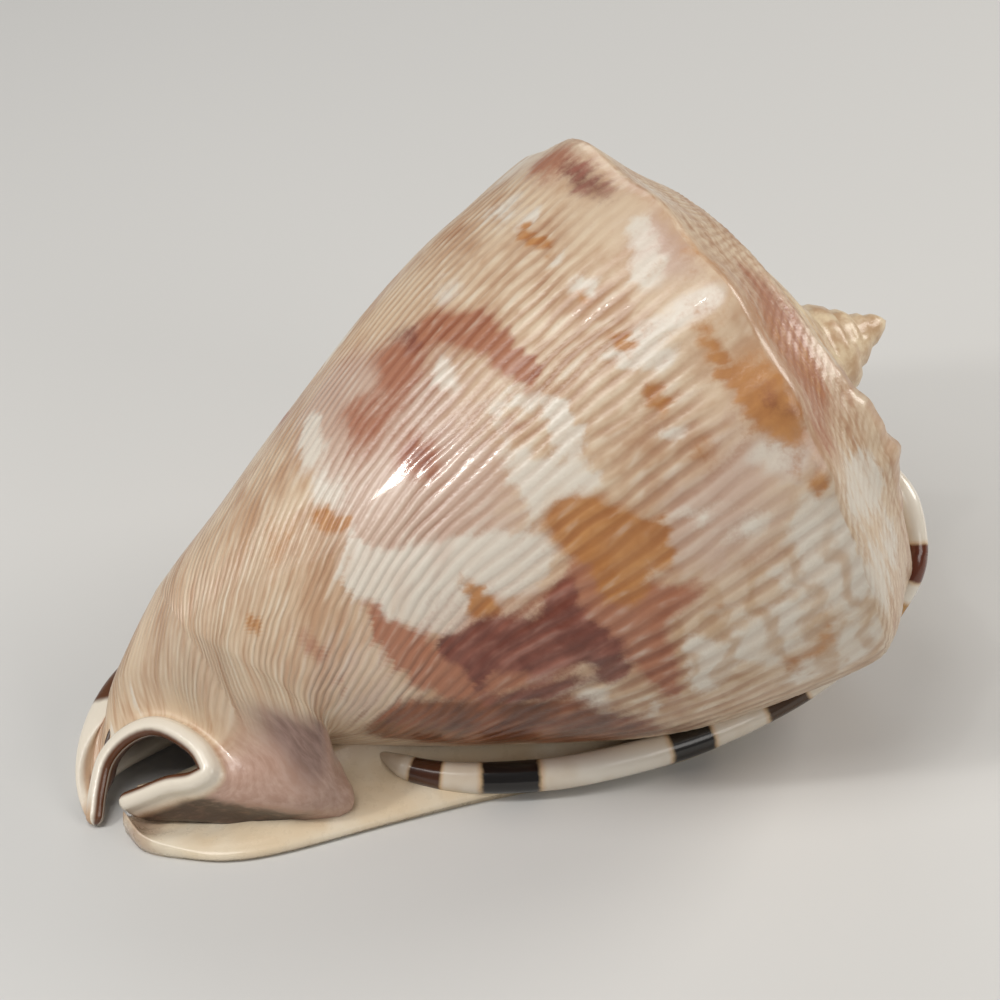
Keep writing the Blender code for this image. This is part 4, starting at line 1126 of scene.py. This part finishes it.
def body_material():
    p = Paint("shell_glaze")
    at = body_fields(p)
    rag_marks(p, at)
    colour = ground_and_marks(p, at)
    for layer in (paint_ribs, paint_enamel, paint_canal, paint_inside, paint_spire):
        colour = layer(p, at, colour)
    roughness = p.less(p.add(0.24, p.times(at.grain, 0.14)), p.times(at.rim, 0.12))
    p.surface(colour, roughness, 0.20, 0.06)
    ribs = p.math("POWER", p.add(0.5, p.times(at.wave, 0.5)), RIB_SHARPNESS)
    ribs = p.times(p.times(ribs, at.ribbed),
                   p.step(at.ring, FINE_RIBS_BELOW, FINE_RIBS_BELOW - FINE_RIBS_BLEND))
    p.bump(p.add(p.times(at.grain, 0.16), p.times(ribs, 0.6)), 1.0, RIB_DEPTH * LENGTH)
    return p.material


# the shield and the old lip
SHIELD_CREAM, SHIELD_WHITE = (0.72, 0.58, 0.40), (0.80, 0.71, 0.56)
SHIELD_STAIN, SHIELD_TAN = (0.30, 0.16, 0.09), (0.42, 0.28, 0.18)
OLD_LIP_CREAM, OLD_LIP_WHITE, SPOT_BORDER = (0.66, 0.55, 0.42), (0.80, 0.74, 0.64), (0.55, 0.30, 0.08)


def shield_material():
    p = Paint("shield_enamel")
    way, across = p.fact("way"), p.fact("across")
    cloud = p.noise(p.place(), 0.10, 3.0, 0.5, 0.5)
    fine = p.noise(p.place(), 0.9, 4.0, 0.6)
    colour = p.mix(p.step(cloud, 0.35, 0.7), SHIELD_CREAM, SHIELD_WHITE)
    stain = p.times(p.fade(way, 0.05, 0.22), p.step(p.noise(p.place(), 0.22, 3.0, 0.5), 0.42, 0.60))
    colour = p.mix(p.times(stain, 0.7), colour, SHIELD_STAIN)
    colour = p.mix(p.times(p.fade(across, 0.0, 0.22), 0.5), colour, SHIELD_TAN)
    p.surface(colour, p.add(0.22, p.times(fine, 0.12)), 0.5, 0.08)
    p.bump(fine, 0.12)
    return p.material


# spots on the old lip: start, end, colour
OLD_LIP_SPOTS = ((0.090, 0.145, (0.060, 0.018, 0.006)), (0.200, 0.257, (0.008, 0.006, 0.005)),
                 (0.400, 0.450, (0.010, 0.007, 0.005)), (0.520, 0.575, (0.060, 0.028, 0.010)),
                 (0.705, 0.755, (0.420, 0.200, 0.030)), (0.790, 0.845, (0.120, 0.025, 0.006)))


def old_lip_material():
    p = Paint("old_lip_enamel")
    cloud = p.noise(p.place(), 0.12, 3.0, 0.5)
    fine = p.noise(p.place(), 0.8, 4.0, 0.6)
    way = p.add(p.fact("way"), p.times(p.less(fine, 0.5), 0.006))
    colour = p.mix(p.step(cloud, 0.35, 0.65), OLD_LIP_CREAM, OLD_LIP_WHITE)
    for start, end, shade in OLD_LIP_SPOTS:
        inside = p.band(way, start - 0.003, start + 0.003, end - 0.003, end + 0.003)
        border = p.band(way, start - 0.008, start, end, end + 0.008)
        colour = p.mix(p.times(border, 0.6), colour, SPOT_BORDER)
        colour = p.mix(inside, colour, shade)
    p.surface(colour, p.add(0.20, p.times(fine, 0.10)), 0.5, 0.08)
    p.bump(fine, 0.10)
    return p.material


# ---- stage, light and camera
FLOOR_HALF = 30             # shell lengths
FLOOR_COLOUR = (0.62, 0.615, 0.60)
AIM = (0, 0, 0.25)          # the middle of the shell, in shell lengths
WARM = (1.0, 0.98, 0.95)
# name, direction from the shell, distance and size in shell lengths, watts, colour
LIGHTS = (("key", (-0.77, -0.03, 0.63), 4.2, 1.8, 0.34, WARM),
          ("lamp", (-0.77, -0.03, 0.63), 4.0, 0.36, 0.34, WARM),
          ("overhead", (-0.36, -0.15, 0.92), 4.0, 2.4, 0.62, WARM),
          ("spark", (-0.37, -0.20, 0.87), 4.0, 0.20, 0.08, WARM),
          ("apex", (0.85, 0.10, 0.50), 5.0, 2.5, 1.15, (1.0, 0.96, 0.90)),
          ("front", (0.40, -0.80, 0.45), 5.0, 2.5, 0.50, (1.0, 0.97, 0.93)),
          ("back", (0.30, 0.80, 0.50), 5.0, 2.5, 0.25, (1.0, 1.0, 1.0)))
SKY_COLOUR, SKY_STRENGTH = (0.95, 0.97, 1.0, 1.0), 0.16


def floor():
    mesh = bpy.data.meshes.new("floor")
    half = LENGTH * FLOOR_HALF
    corners = [(-half, -half, 0), (half, -half, 0), (half, half, 0), (-half, half, 0)]
    mesh.from_pydata(corners, [], [(0, 1, 2, 3)])
    made = bpy.data.objects.new("floor", mesh)
    bpy.context.scene.collection.objects.link(made)
    p = Paint("pale_floor")
    p.put(p.shader.inputs["Base Color"], FLOOR_COLOUR)
    p.shader.inputs["Roughness"].default_value = 0.7
    mesh.materials.append(p.material)


def area_light(name, direction, far, size, watts, colour):
    """A round soft light, aimed at the middle of the shell."""
    data = bpy.data.lights.new(name, "AREA")
    data.shape = "DISK"
    data.size = size * LENGTH
    data.energy = watts
    data.color = colour
    made = bpy.data.objects.new(name, data)
    made.location = (Vector(AIM) + Vector(direction).normalized() * far) * LENGTH
    made.rotation_euler = Vector(direction).to_track_quat("Z", "Y").to_euler()
    bpy.context.scene.collection.objects.link(made)


def lights():
    for light in LIGHTS:
        area_light(*light)
    world = bpy.data.worlds.new("studio")
    world.use_nodes = True
    sky = world.node_tree.nodes["Background"].inputs
    sky["Color"].default_value = SKY_COLOUR
    sky["Strength"].default_value = SKY_STRENGTH
    bpy.context.scene.world = world
    bpy.context.scene.view_settings.view_transform = "Standard"


CAMERA_BACK = (-0.315, -0.745, 0.588)       # from the shell toward the camera
CAMERA_TARGET = (0.0173, -0.0004, 0.2498)
CAMERA_DISTANCE = 3.2
CAMERA_LENS = 104.8


def camera():
    data = bpy.data.cameras.new("camera")
    data.sensor_width = 36.0
    data.lens = CAMERA_LENS
    data.clip_start = 0.01
    made = bpy.data.objects.new("camera", data)
    back = Vector(CAMERA_BACK).normalized()
    made.location = (Vector(CAMERA_TARGET) + back * CAMERA_DISTANCE) * LENGTH
    made.rotation_euler = (-back).to_track_quat("-Z", "Y").to_euler()
    bpy.context.scene.collection.objects.link(made)
    bpy.context.scene.camera = made


def main():
    pieces = (shell_body(body_material()), shield(shield_material()), old_lip(old_lip_material()))
    for piece in pieces:
        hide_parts("shell")
        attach(piece, "root")
    floor()
    lights()
    camera()


main()
